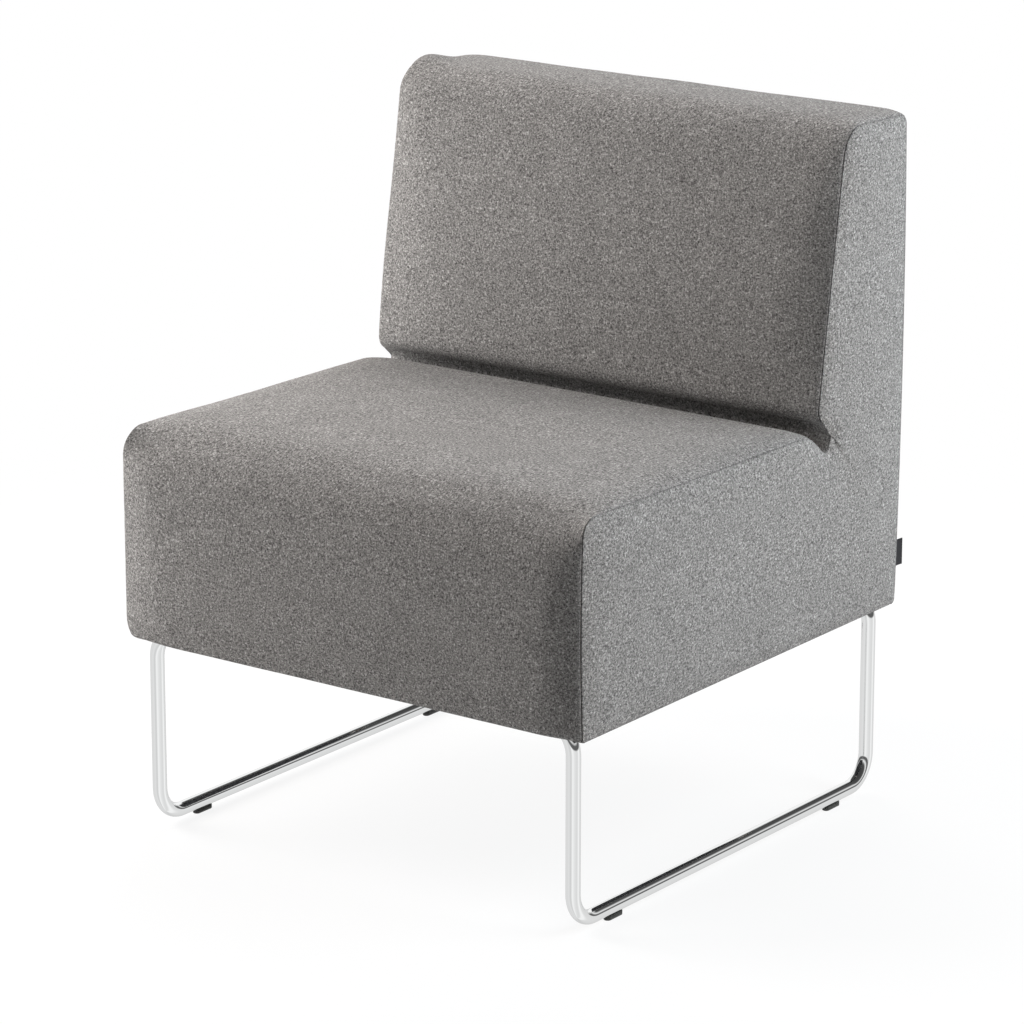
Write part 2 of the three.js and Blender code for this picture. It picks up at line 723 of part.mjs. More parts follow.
// Finishes
const finish = (color, roughness, metalness) => () =>
  new THREE.MeshStandardMaterial({ color, roughness, metalness, flatShading: true });
const wool = finish('#8f8b8a', 0.95, 0);
const foam = finish('#d9d2b4', 0.9, 0);
const plywood = finish('#c79f6b', 0.7, 0);
const hardboard = finish('#7a5a3c', 0.8, 0);
const webbing = finish('#3a3a3c', 0.85, 0);
const nonWoven = finish('#1d1d1f', 0.95, 0);
const chrome = finish('#d8dadb', 0.06, 1);
const zincSteel = finish('#a9adb0', 0.35, 1);
const darkPlastic = finish('#2c2c2b', 0.5, 0);
const wovenLabel = finish('#16161a', 0.8, 0);

const chair = new THREE.Group();

function add(name, geometry, material) {
  const mesh = new THREE.Mesh(geometry, material());
  mesh.name = name;
  chair.add(mesh);
}

const sides = [{ name: 'left', sign: -1 }, { name: 'right', sign: 1 }];

add('main_cover', mainCover(), wool);
add('rear_cover', rearCover(), wool);
add('label', label(), wovenLabel);
add('dust_cover', dustCover(), nonWoven);
add('seat_foam', seatFoam(), foam);
add('back_foam', backFoam(), foam);
add('front_pad', frontPad(), foam);
add('rear_pad', rearPad(), foam);
add('front_rail', frontRail(), plywood);
add('rear_rail', rearRail(), plywood);
add('seat_rear_rail', seatRearRail(), plywood);
add('top_rail', topRail(), plywood);
add('base_board', baseBoard(), plywood);
add('back_board', backBoard(), plywood);
add('rear_board', rearBoard(), hardboard);

for (const side of sides) {
  add(`side_cover_${side.name}`, sideCover(side.sign), wool);
  add(`side_pad_${side.name}`, sidePad(side.sign), foam);
  add(`side_panel_${side.name}`, sidePanel(side.sign), plywood);
  add(`corner_block_front_${side.name}`, cornerBlock(side.sign, true), plywood);
  add(`corner_block_rear_${side.name}`, cornerBlock(side.sign, false), plywood);
  add(`sled_tube_${side.name}`, sledTube(side.sign), chrome);
  for (const place of glidePlaces) {
    add(`glide_${place.name}_${side.name}`, glide(side.sign, place), darkPlastic);
  }
}

for (let i = 0; i < strapCount; i++) add(`seat_webbing_${i + 1}`, strap(i), webbing);

crossTubes.forEach((tube, row) => {
  add(`tube_spigot_${tube.name}`, tubeSpigot(tube), zincSteel);
  clampPlaces.forEach((place, i) => {
    add(`tube_clamp_${row * clampPlaces.length + i + 1}`, tubeClamp(tube, place), zincSteel);
  });
});

screwPlaces.forEach((place, i) => add(`clamp_screw_${i + 1}`, woodScrew(place), zincSteel));

// The part's origin is on the floor, under the middle of the chair
const extent = new THREE.Box3().setFromObject(chair);
const middle = extent.getCenter(new THREE.Vector3());
chair.position.set(-middle.x, -middle.y, -extent.min.z);

const part = new THREE.Group();
part.add(chair);

export default part;
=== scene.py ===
import math

import bmesh
import bpy
import numpy as np
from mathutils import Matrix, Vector


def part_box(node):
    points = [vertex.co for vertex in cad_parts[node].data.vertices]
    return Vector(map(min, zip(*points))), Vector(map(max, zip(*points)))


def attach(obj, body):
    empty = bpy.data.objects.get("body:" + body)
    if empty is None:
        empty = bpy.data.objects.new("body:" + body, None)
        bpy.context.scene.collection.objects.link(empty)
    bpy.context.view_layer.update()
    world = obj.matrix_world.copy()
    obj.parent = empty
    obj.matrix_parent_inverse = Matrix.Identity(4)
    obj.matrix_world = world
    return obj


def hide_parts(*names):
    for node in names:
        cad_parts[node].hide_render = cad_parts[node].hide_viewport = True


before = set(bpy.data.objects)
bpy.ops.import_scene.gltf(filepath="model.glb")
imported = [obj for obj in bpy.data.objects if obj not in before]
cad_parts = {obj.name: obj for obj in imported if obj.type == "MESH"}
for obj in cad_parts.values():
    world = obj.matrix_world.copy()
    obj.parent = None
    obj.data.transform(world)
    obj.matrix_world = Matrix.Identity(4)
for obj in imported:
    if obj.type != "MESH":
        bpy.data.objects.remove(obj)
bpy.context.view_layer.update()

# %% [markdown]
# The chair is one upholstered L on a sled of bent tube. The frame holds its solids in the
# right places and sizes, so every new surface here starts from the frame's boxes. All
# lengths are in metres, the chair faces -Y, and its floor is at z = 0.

MM = 0.001

# %% [markdown]
# The camera stands where the photographer's camera stood: a long lens, a little to the
# chair's right and a little above the seat. It is placed by an aim point, two angles and a
# distance, because those are the values that a person would change. The lamps are placed
# in the same way further down, so one function serves both.

# %% Camera
AIM = Vector((-0.0069, -0.0058, 0.3444))
AZIMUTH, ELEVATION = 36.3, 16.23
DISTANCE = 5.375
LENS_MM = 171.97


def place(name, data, aim, azimuth, elevation, distance):
    """Puts an object at aim + distance * (sin a cos e, -cos a cos e, sin e), facing the aim."""
    a, e = math.radians(azimuth), math.radians(elevation)
    away = Vector((math.sin(a) * math.cos(e), -math.cos(a) * math.cos(e), math.sin(e)))
    made = bpy.data.objects.new(name, data)
    made.location = aim + away * distance
    made.rotation_euler = away.to_track_quat("Z", "Y").to_euler()
    bpy.context.scene.collection.objects.link(made)
    return made


camera = place("camera", bpy.data.cameras.new("camera"), AIM, AZIMUTH, ELEVATION, DISTANCE)
camera.data.lens = LENS_MM
bpy.context.scene.camera = camera
print("camera at", [round(v, 3) for v in camera.location])

# %% [markdown]
# A material here is a small network of nodes. One function adds a node with its settings
# and its links, and one turns the sRGB hex colours that people read into the linear
# numbers that the renderer needs.

# %% Nodes and colours
def linear(hex_colour):
    """Each channel c of a colour: c / 12.92 below 0.04045, else ((c + 0.055) / 1.055) ** 2.4."""
    channels = [int(hex_colour[i:i + 2], 16) / 255 for i in (1, 3, 5)]
    return [c / 12.92 if c <= 0.04045 else ((c + 0.055) / 1.055) ** 2.4 for c in channels] + [1]


def node(material, kind, settings=None, **inputs):
    """Adds a node. settings are its properties; an input is a value, or (node, output) to link."""
    made = material.node_tree.nodes.new(kind)
    for key, value in (settings or {}).items():
        setattr(made, key, value)
    for key, value in inputs.items():
        socket = made.inputs[int(key[1:]) if key[1:].isdigit() else key.replace("_", " ")]
        if isinstance(value, tuple) and hasattr(value[0], "outputs"):
            material.node_tree.links.new(value[0].outputs[value[1]], socket)
        else:
            socket.default_value = value
    return made


def new_material(name):
    """An empty node material."""
    material = bpy.data.materials.new(name)
    material.use_nodes = True
    material.node_tree.nodes.clear()
    return material


def close(material, shader):
    """Joins the shader to the material's output."""
    node(material, "ShaderNodeOutputMaterial", None, Surface=(shader, 0))
    return material


print("mid grey of the felt, linear:", [round(c, 3) for c in linear("#777573")[:3]])

# %% [markdown]
# Every finish below is made of the same few steps: a noise in the piece's own coordinates,
# some arithmetic, a ramp that turns the number into a colour, and small dents. Each step
# is one function, and each returns the (node, output) pair that the next one links to.

# %% Steps of a finish
def object_space(material, scale=None):
    """The piece's Object coordinates. A scale below 1 makes the grain longer along that axis."""
    space = (node(material, "ShaderNodeTexCoord"), "Object")
    if scale is None:
        return space
    return (node(material, "ShaderNodeMapping", Vector=space, Scale=scale), 0)


def per_metre(size_mm):
    """Scale of a pattern whose features are about size_mm across: one over the size in metres."""
    return 1 / (size_mm * MM)


def noise(material, space, size_mm, detail, **more):
    """Noise with features about size_mm across."""
    return (node(material, "ShaderNodeTexNoise", Vector=space, Scale=per_metre(size_mm),
                 Detail=detail, **more), 0)


def maths(material, operation, *values):
    """One arithmetic operation on numbers or other nodes."""
    return (node(material, "ShaderNodeMath", {"operation": operation},
                 **{f"_{k}": value for k, value in enumerate(values)}), 0)


def rescaled(material, value, old=(0, 1), new=(0, 1), soft=False):
    """Carries a value from the range old to new: straight, or soft as 3 t squared - 2 t cubed."""
    settings = {"interpolation_type": "SMOOTHSTEP" if soft else "LINEAR"}
    return (node(material, "ShaderNodeMapRange", settings, Value=value, From_Min=old[0],
                 From_Max=old[1], To_Min=new[0], To_Max=new[1]), 0)


def ramp(material, factor, *stops):
    """A colour ramp over (place, hex colour) stops."""
    made = node(material, "ShaderNodeValToRGB", Fac=factor)
    elements = made.color_ramp.elements
    while len(elements) < len(stops):
        elements.new(1)
    for element, (where, colour) in zip(elements, stops):
        element.position = where
        element.color = linear(colour)
    return (made, 0)


def dents(material, height, strength, depth_mm):
    """Bends the surface's normal as if the height pattern were depth_mm deep."""
    return (node(material, "ShaderNodeBump", Strength=strength, Distance=depth_mm * MM,
                 Height=height), 0)


def surface(material, colour, roughness, **more):
    """Closes a material with one principled shader."""
    return close(material, node(material, "ShaderNodeBsdfPrincipled", Base_Color=colour,
                                Roughness=roughness, **more))


print("scale of a 2 mm grain:", per_metre(2))

# %% [markdown]
# The cover is a wool felt, woven, milled and raised until the yarns can't be told apart.
# Dark, mid and pale wools are blended before spinning, so the eye sees a fine speckle of
# short fibres and a soft cloudiness. A picture of the cloth would repeat and would need
# flat maps of every panel. Noises of real sizes don't: a speckle that is a little longer
# the way the nap lies, fibres that lie both ways, and clouds. They read Object
# coordinates, so the grain has the same size on every panel. The attribute named seam,
# which the panels carry, mixes a dark colour into the felt. It is painted shade of the
# seam's groove, together with the squeezed felt of the seam, and a wide band of painted
# shade beside the seams of the front and the back. Its cube keeps the line at a seam fine.

# %% Wool felt
SPECKLE_MM, FIBRE_MM, CLOUD_MM = 2.1, 1.0, 38
NAP_STRETCH, FIBRE_STRETCH = 1.35, 3.0
FIBRE_SHARE, CLOUD_SHARE = 0.45, 0.03
# Place on the ramp and colour, from the darkest wool to the palest
WOOLS = ((0.39, "#2d2c2b"), (0.475, "#615f5e"), (0.53, "#777573"), (0.585, "#8d8b89"),
         (0.67, "#bdbbb9"))
# The seams' dark colour is painted shade: a fine line in each seam's groove, with the squeezed felt
# there, and a wide band beside the seams of the front and the back
SEAM_SHADE, SEAM_POWER, SEAM_SHADE_COLOUR = 0.4, 3.0, "#1c1b1b"


def wool_felt():
    """Blended grey wool felt. Its shade is 0.45 fibres + 0.55 speckle + 0.03 (cloud - a half)."""
    m = new_material("milled_wool_felt")
    speckle = noise(m, object_space(m, (1, 1 / NAP_STRETCH, 1)), SPECKLE_MM, 3.0, Roughness=0.75)
    upright = noise(m, object_space(m, (1, 1, 1 / FIBRE_STRETCH)), FIBRE_MM, 2.0)
    crosswise = noise(m, object_space(m, (1 / FIBRE_STRETCH, 1, 1)), FIBRE_MM, 2.0)
    cloud = noise(m, object_space(m), CLOUD_MM, 3.0)
    fibres = maths(m, "MAXIMUM", upright, crosswise)
    mixed = maths(m, "MULTIPLY_ADD", fibres, FIBRE_SHARE,
                  maths(m, "MULTIPLY", speckle, 1 - FIBRE_SHARE))
    clouded = maths(m, "MULTIPLY_ADD", cloud, CLOUD_SHARE,
                    maths(m, "SUBTRACT", mixed, CLOUD_SHARE / 2))
    # Painted shade: the seam attribute, cubed, mixes the dark seam colour into the felt
    painted_seam_shade = (node(m, "ShaderNodeAttribute", {"attribute_name": "seam"}), "Fac")
    shade = maths(m, "MULTIPLY", maths(m, "POWER", painted_seam_shade, SEAM_POWER), SEAM_SHADE)
    sewn = node(m, "ShaderNodeMix", {"data_type": "RGBA"}, _0=shade, _6=ramp(m, clouded, *WOOLS),
                _7=linear(SEAM_SHADE_COLOUR))
    return surface(m, (sewn, 2), 0.95, Normal=dents(m, mixed, 0.55, 0.5), Specular_IOR_Level=0.1,
                   Sheen_Weight=0.04, Sheen_Roughness=0.45)


FELT = wool_felt()
print("felt: speckle", SPECKLE_MM, "mm, fibres", FIBRE_MM, "mm, clouds", CLOUD_MM, "mm")

# %% [markdown]
# The sled is mild steel tube, bent cold, polished and plated with bright chrome. The eye
# sees only reflections in it: bands of the room, the dark underside of the seat and the
# floor. A metal with almost no roughness does that, and a faint slow noise in the
# roughness keeps the polish from looking computed. What it reflects is made further down,
# with the studio.

# %% Chrome
WEAR_MM = 30
POLISH = (0.035, 0.085)


def bright_chrome():
    """Bright chrome plating: a slow noise moves the roughness over the range of the polish."""
    m = new_material("bright_chrome_plating")
    wear = noise(m, object_space(m), WEAR_MM, 4.0)
    return surface(m, linear("#f0f1f1"), rescaled(m, wear, new=POLISH), Metallic=1.0)


CHROME = bright_chrome()
print("chrome: roughness", POLISH[0], "to", POLISH[1])

# %% [markdown]
# The small parts have their own finishes. The glides are moulded nylon, black and a
# little shiny, with the fine spark-eroded grain of the mould. The label is a woven satin
# tape. The sheet under the seat is spunbonded non-woven, black, with the small dimples of
# its bonding points. One function makes every finish that is a single grain.

# %% Plastic, tape and non-woven
def grained(name, dark, pale, grain_mm, roughness, bump_mm, metallic=0.0, stretch=None):
    """A finish with one grain: a noise gives colours from dark to pale, and dents of bump_mm."""
    m = new_material(name)
    grain = noise(m, object_space(m, stretch), grain_mm, 4.0)
    return surface(m, ramp(m, grain, (0.35, dark), (0.65, pale)), roughness, Metallic=metallic,
                   Normal=dents(m, grain, 0.5, bump_mm))


def bonded_sheet():
    """Black spunbonded sheet: bonding dimples 2.5 mm apart, plus 0.4 of a tangle of fibres."""
    m = new_material("spunbonded_polypropylene")
    dimples = (node(m, "ShaderNodeTexVoronoi", {"feature": "F1"}, Vector=object_space(m),
                    Scale=per_metre(2.5), Randomness=0.15), 0)
    fibres = noise(m, object_space(m), 0.9, 3.0)
    height = maths(m, "ADD", dimples, maths(m, "MULTIPLY", fibres, 0.4))
    return surface(m, ramp(m, height, (0.2, "#0f0f10"), (0.8, "#26262a")), 0.85,
                   Normal=dents(m, height, 0.6, 0.2))


NYLON = grained("moulded_black_nylon", "#1f1f1e", "#353533", 0.6, 0.42, 0.05)
TAPE = grained("woven_satin_tape", "#0b0b0d", "#222226", 0.5, 0.6, 0.08, stretch=(1, 1, 3))
SHEET = bonded_sheet()
print("small finishes:", NYLON.name, TAPE.name, SHEET.name)

# %% [markdown]
# Nobody sees the inside of the body, but a library part may be cut open or taken apart.
# So its plywood, hardboard, webbing and zinc plated steel get their real finishes too.
# Their solids stay as they are, and only the material is changed.

# %% Finishes of the hidden frame
PLYWOOD = grained("birch_plywood", "#b98f5c", "#dcb988", 1.4, 0.6, 0.1, stretch=(1, 1, 0.08))
HARDBOARD = grained("brown_hardboard", "#5d4029", "#84603f", 1.0, 0.7, 0.08)
WEBBING = grained("elastic_webbing", "#2a2a2c", "#4c4c50", 1.6, 0.85, 0.3, stretch=(1, 0.2, 1))
ZINC = grained("zinc_plated_steel", "#9a9ea1", "#bcc0c2", 3.0, 0.32, 0.02, metallic=1.0)

HIDDEN = {
    PLYWOOD: ("rail", "side_panel", "base_board", "back_board", "corner_block"),
    HARDBOARD: ("rear_board",),
    WEBBING: ("seat_webbing",),
    ZINC: ("tube_spigot", "tube_clamp", "clamp_screw"),
    SHEET: ("dust_cover",),
}
for name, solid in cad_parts.items():
    for finish, words in HIDDEN.items():
        if any(word in name for word in words):
            solid.data.materials.clear()
            solid.data.materials.append(finish)
print("finished solids:", sum(1 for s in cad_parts.values() if s.data.materials))

# %% [markdown]
# Every new surface is a grid of points, worked out as whole arrays. A padded panel is two
# such grids, its face and its back, joined round their edges, so that it is one closed
# body with the foam's thickness and not a paper skin. A tube or a glide is a row of
# closed rings with a cap at each end.

# %% Grids into meshes
def grid_points(x, y, z):
    """One array of points from three arrays or numbers that fit together."""
    return np.stack(np.broadcast_arrays(x, y, z), -1)


def quads(rows, columns, start=0):
    """Corner numbers of the cells of a grid whose points are numbered row by row."""
    number = start + np.arange(rows * columns).reshape(rows, columns)
    cells = [number[:-1, :-1], number[1:, :-1], number[1:, 1:], number[:-1, 1:]]
    return np.stack(cells, -1).reshape(-1, 4)


def mesh_object(name, points, faces, material, seam=None, caps=()):
    """A smooth object from an array of points and an array of four-cornered faces, turned outwards.

    seam says how much of the felt's dark seam colour each point gets, from 0 to 1: painted shade,
    with the squeezed felt of a seam, and the felt reads it as an attribute. caps are faces with
    more corners.
    """
    mesh = bpy.data.meshes.new(name)
    mesh.from_pydata(points.reshape(-1, 3).tolist(), [], faces.tolist() + list(caps))
    body = bmesh.new()
    body.from_mesh(mesh)
    if seam is not None:
        # The seam attribute carries painted shade for the felt
        painted_seam_shade = body.verts.layers.float.new("seam")
        for vertex, value in zip(body.verts, seam.ravel().tolist()):
            vertex[painted_seam_shade] = value
    bmesh.ops.remove_doubles(body, verts=body.verts, dist=0.001 * MM)
    bmesh.ops.recalc_face_normals(body, faces=body.faces)
    body.to_mesh(mesh)
    body.free()
    mesh.shade_smooth()
    mesh.materials.append(material)
    made = bpy.data.objects.new(name, mesh)
    bpy.context.scene.collection.objects.link(made)
    return made


def closed_pad(name, face, inner, material, seam=None):
    """One closed body from two equal grids: face, back, and a band of cells round the edges."""
    rows, columns = face.shape[:2]
    count = rows * columns
    number = np.arange(count).reshape(rows, columns)
    rim = np.concatenate([number[0, :], number[1:, -1], number[-1, -2::-1], number[-2:0:-1, 0]])
    after = np.roll(rim, -1)
    band = np.stack([rim, after, after + count, rim + count], -1)
    faces = np.concatenate([quads(rows, columns), quads(rows, columns, count)[:, ::-1], band])
    seam = None if seam is None else np.concatenate([seam.ravel(), np.zeros(count)])
    points = np.concatenate([face.reshape(-1, 3), inner.reshape(-1, 3)])
    return mesh_object(name, points, faces, material, seam)


def ringed_body(name, rings, material):
    """One closed body from equal rings of points: cells from ring to ring, and two caps."""
    number = np.arange(rings.shape[0] * rings.shape[1]).reshape(rings.shape[:2])
    after = np.roll(number, -1, axis=1)
    faces = np.stack([number[:-1], after[:-1], after[1:], number[1:]], -1).reshape(-1, 4)
    caps = [number[0].tolist(), number[-1, ::-1].tolist()]
    return mesh_object(name, rings, faces, material, caps=caps)


print("cells in a grid of 4 by 3 points:", len(quads(4, 3)))

# %% [markdown]
# The outline of the body is the line of the seams: up the front, over the seat, down into
# the crease, up the back, over its top and down the rear. It is written as corners with a
# radius, as an upholsterer's pattern is, and each corner also says how proud the stuffed
# cover stands there before and after it. A curve drawn by hand would follow the photo as
# well, but nobody could change the seat's height in it.

# %% The pattern of the seams
side_low, side_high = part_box("side_cover_right")
HEM_BELOW = 2 * MM           # the hem hangs a little below the side cover's solid
FRONT, REAR, UNDERSIDE = side_low.y, side_high.y, side_low.z - HEM_BELOW
SEAM_HALF = 300 * MM
SEAT_HEIGHT, SEAT_FALL, SEAT_END = 458 * MM, 3 * MM, FRONT + 420 * MM
CREASE_HEIGHT = 424 * MM
FOOT, FOOT_HEIGHT = FRONT + 435 * MM, 470 * MM       # the lower edge of the back
TOP_HEIGHT, TOP_FALL = 779.5 * MM, 5 * MM
REAR_TUCK = 3 * MM
RECLINE = math.radians(8.7)
BACK_TOP = FOOT + (TOP_HEIGHT - FOOT_HEIGHT) * math.tan(RECLINE)

# The corners by number, in the order in which the outline meets them
(HEM, SEAT_FRONT, SEAT_REAR, CREASE, CREASE_ROOF,
 BACK_FOOT, TOP_FRONT, TOP_REAR, REAR_HEM) = range(9)
# y and z, then in mm: radius, crown before, crown after, bulge of the span that follows
CORNERS = np.array([
    (FRONT, UNDERSIDE, 6, 0, 12, 4),
    (FRONT, SEAT_HEIGHT, 21, 7, 4, 6),
    (SEAT_END - 4 * MM, SEAT_HEIGHT - SEAT_FALL - 1.5 * MM, 47, 4, 6, 6),
    (SEAT_END + 35 * MM, CREASE_HEIGHT, 5, 0, 0, 0),
    (SEAT_END + 40 * MM, CREASE_HEIGHT + 23 * MM, 6, 0, 0, -6),
    (FOOT, FOOT_HEIGHT, 18, 1.5, 7, 4),
    (BACK_TOP, TOP_HEIGHT, 34, 6, 4, 0),
    (REAR, TOP_HEIGHT - TOP_FALL, 11, 4, 3, 1.5),
    (REAR - REAR_TUCK, UNDERSIDE + 1.2 * MM, 6, 3, 0, 0),
])
CORNERS[:, 2:] *= MM
FOAM_RADIUS = {SEAT_FRONT: 50 * MM, TOP_FRONT: 42 * MM}      # between the sides
SMALLEST_RADIUS = 0.3 * MM
ARC_STEP = math.radians(7)
HEM_EASE = 3                 # a crown that starts or ends at nothing does so as this power
FINE = 5 * MM          # spacing of the stations
print("corners of the pattern:", len(CORNERS), "back's top at y in mm:", round(BACK_TOP / MM, 1))

# %% [markdown]
# The pattern is then walked: each corner becomes an arc, and the stations between two arcs
# are evenly spaced. Each station knows its place, its normal, its crown and its corner, so
# a panel can be worked out from the stations alone. The seam turns tightly over the seat's
# front and the back's top, while the foam between the sides is cut rounder there. So the
# crown sinks towards those corners until the surface lies on the foam's own arc.

# %% The outline of the seams
def lengths(line):
    """How far along a line of points each of them is."""
    return np.concatenate([[0], np.cumsum(np.hypot(*np.diff(line, axis=0).T))])


def turned(direction, angle):
    """A direction (a, b) turned by each angle t: (a cos t - b sin t, a sin t + b cos t)."""
    a, b = direction
    cos, sin = np.cos(angle), np.sin(angle)
    return np.stack([a * cos - b * sin, a * sin + b * cos], -1)


def span(last, first, bulge, spacing):
    """Even stations between two arcs. The crown is linear, plus bulge * (1 - |2 t - 1| cubed)."""
    count = max(1, round(np.hypot(*(first[:2] - last[:2])) / spacing))
    t = np.linspace(0, 1, count + 1)[1:-1, None]
    rows = last + (first - last) * t
    rows[:, 4] += bulge * (1 - np.abs(2 * t[:, 0] - 1) ** 3)
    return rows


def foam_edge(rows, corner, wide, centre, reach):
    """Sinks the crown near a corner onto the foam's rounder arc.

    With q from the arc's centre to the seam, n the normal and R the arc's radius plus the crown,
    the new crown is root((q . n) squared - q squared + R squared) - q . n.
    """
    length = lengths(rows[:, :2])
    past = np.abs(length - length[rows[:, 5] == corner].mean())
    q = rows[:, :2] - centre
    across = (q * rows[:, 2:4]).sum(1)
    lift = np.sqrt(np.maximum(across ** 2 - (q ** 2).sum(1) + (wide + rows[:, 4]) ** 2, 0)) - across
    rows[:, 4] = np.where(past < reach, lift, rows[:, 4])


def walk(corners, spacing, inset=0.0):
    """Goes round closed corners. Returns rows of (y, z, normal y, normal z, crown, corner number).

    An arc lies inside both edges of its corner: its centre is the corner, moved back by radius *
    tan(half the turn) and sideways by the radius. Between two corners the corner number is a
    fraction. An inset moves every edge inwards by that distance.
    """
    rows, rounder = [], []
    for k, (y, z, r, crown_in, crown_out, _) in enumerate(corners):
        here = np.array([y, z])
        arrive = here - corners[k - 1, :2]
        leave = corners[(k + 1) % len(corners), :2] - here
        arrive, leave = arrive / np.hypot(*arrive), leave / np.hypot(*leave)
        turn = math.atan2(arrive[0] * leave[1] - arrive[1] * leave[0], arrive @ leave)
        face_in, face_out = np.array([-arrive[1], arrive[0]]), np.array([-leave[1], leave[0]])
        side = math.copysign(1, turn)
        radius = max(r + side * inset, SMALLEST_RADIUS)
        tip = here - inset * (face_in + face_out) / (1 + face_in @ face_out)
        reach = math.tan(abs(turn) / 2)
        centre = tip - arrive * radius * reach + side * radius * face_in
        if k in FOAM_RADIUS:
            wide = FOAM_RADIUS[k]
            rounder.append((k, wide, tip - arrive * wide * reach + side * wide * face_in,
                            (wide - radius) * reach + radius * abs(turn) / 2))
        share = np.linspace(0, 1, max(2, math.ceil(abs(turn) / ARC_STEP)) + 1)
        normal = turned(face_in, turn * share)
        ease = share ** HEM_EASE if crown_in == 0 else share
        ease = 1 - (1 - share) ** HEM_EASE if crown_out == 0 and crown_in > 0 else ease
        crown = crown_in + (crown_out - crown_in) * ease
        arc = np.column_stack([centre - side * radius * normal, normal, crown,
                               np.full(len(share), k)])
        if rows:
            rows.append(span(rows[-1][-1], arc[0], corners[k - 1, 5], spacing))
        rows.append(arc)
    rows.append(span(rows[-1][-1], rows[0][0], 0, spacing))
    rows = np.concatenate(rows)
    for edge in rounder:
        foam_edge(rows, *edge)
    return rows


outline = walk(CORNERS, FINE)
print("stations round the outline:", len(outline))

# %% [markdown]
# Two fabrics meet at a plain seam: both edges turn in together, and the stuffing rounds
# them, so the eye sees a fine dark line in a shallow groove. Every panel ends in the same
# small groove, measured from the seam, and then rises over its foam: fast at first, like a
# quarter of a circle, and then slowly to the middle. A piping cord would be a piece of its
# own, but this chair has none.

# %% Groove and crown
GROOVE_EDGE = 1.0 * MM       # the turned-in edge's distance from the seam line
GROOVE_DEPTH, GROOVE_FADE = 0.4 * MM, 1.0 * MM
TUCK = 5 * MM                # how far the turned-in edge runs on, out of sight
GAP = 0.3 * MM               # between a pad and the wood behind it
# The seams' dark line is painted shade of the groove, with the squeezed felt of the seam
SEAM_LINE = 0.9 * MM         # how far the seam's dark line reaches
FAINT = 0.5                  # the pressed seams show that much of it, and the rear one all
ROUND_WIDTH = 7 * MM         # the tight rounding right beside the seam
ROUND_SHARE, ROLL_SHARE = 0.08, 0.82


def groove(distance):
    """Depth of the groove: 0.4 mm at the edge, fading as e to the minus distance over 1 mm."""
    return GROOVE_DEPTH * np.exp(-np.maximum(distance - GROOVE_EDGE, 0) / GROOVE_FADE)


def nearness(distance):
    """1 at a seam's edge, fading as e to the minus (distance beyond it / 0.9 mm) squared."""
    return np.exp(-(np.maximum(distance - GROOVE_EDGE, 0) / SEAM_LINE) ** 2)


def rise(distance, roll, across):
    """Share of the crown: a tight quarter circle, a parabola over the roll, 1 - across squared."""
    beside = np.clip((distance - GROOVE_EDGE) / ROUND_WIDTH, 0, 1)
    near = np.clip((distance - GROOVE_EDGE) / roll, 0, 1)
    return (ROUND_SHARE * np.sqrt(1 - (1 - beside) ** 2) + ROLL_SHARE * (1 - (1 - near) ** 2)
            + (1 - ROUND_SHARE - ROLL_SHARE) * (1 - np.clip(across, -1, 1) ** 2))


print("groove depth 3 mm from the seam, in mm:", round(float(groove(3 * MM) / MM), 2))

# %% [markdown]
# Upholstery fabric is cut a little smaller or larger than the foam under it, and it is
# sewn and stapled at its edges. Between those edges the foam pushes it out. A cloth
# simulation shows where it then swells and where it stays flat. A fine cloth would take
# minutes, so each panel is let go as a coarse one, held at its seams, with pressure behind
# it, and the way that it moved outwards is added to the fine surface as relief.

# %% Cloth simulation of a panel
CLOTH_FRAMES = 14
CLOTH_CAP = 2.2 * MM
CLOTH_STEP = 3               # the coarse cloth takes every third row and column
STRIP_PRESSURE, PANEL_PRESSURE = 1.5, 1.0


def held_edges(shape, rows, columns):
    """Marks the points that the seams hold: rows at both ends and columns at both sides."""
    held = np.zeros(shape[:2], bool)
    held[:rows] = held[-rows:] = held[:, :columns] = held[:, -columns:] = True
    return held


def soften(values, times=4):
    """Averages each inner point with its neighbours, 1 2 1 along the rows and then the columns."""
    for _ in range(times):
        values[1:-1] = (values[:-2] + 2 * values[1:-1] + values[2:]) / 4
        values[:, 1:-1] = (values[:, :-2] + 2 * values[:, 1:-1] + values[:, 2:]) / 4
    return values


def let_go(made, pinned, pressure):
    """Runs a cloth simulation on an object and returns where its points come to rest."""
    made.vertex_groups.new(name="held").add(pinned, 1.0, "REPLACE")
    cloth = made.modifiers.new("Cloth", "CLOTH")
    settings = cloth.settings
    settings.quality = 5
    settings.mass = 0.3
    settings.tension_stiffness = settings.compression_stiffness = 30
    settings.shear_stiffness = 10
    settings.bending_stiffness = 1.5
    settings.use_pressure = True
    settings.uniform_pressure_force = pressure
    settings.shrink_min = -0.006          # the felt is cut 0.6 per cent larger than the foam
    settings.vertex_group_mass = "held"
    settings.effector_weights.gravity = 0
    cloth.collision_settings.use_collision = False
    cloth.point_cache.frame_end = CLOTH_FRAMES
    for step in range(1, CLOTH_FRAMES + 1):
        bpy.context.scene.frame_set(step)
    settled = made.evaluated_get(bpy.context.evaluated_depsgraph_get()).to_mesh()
    moved = np.empty(len(settled.vertices) * 3)
    settled.vertices.foreach_get("co", moved)
    return moved


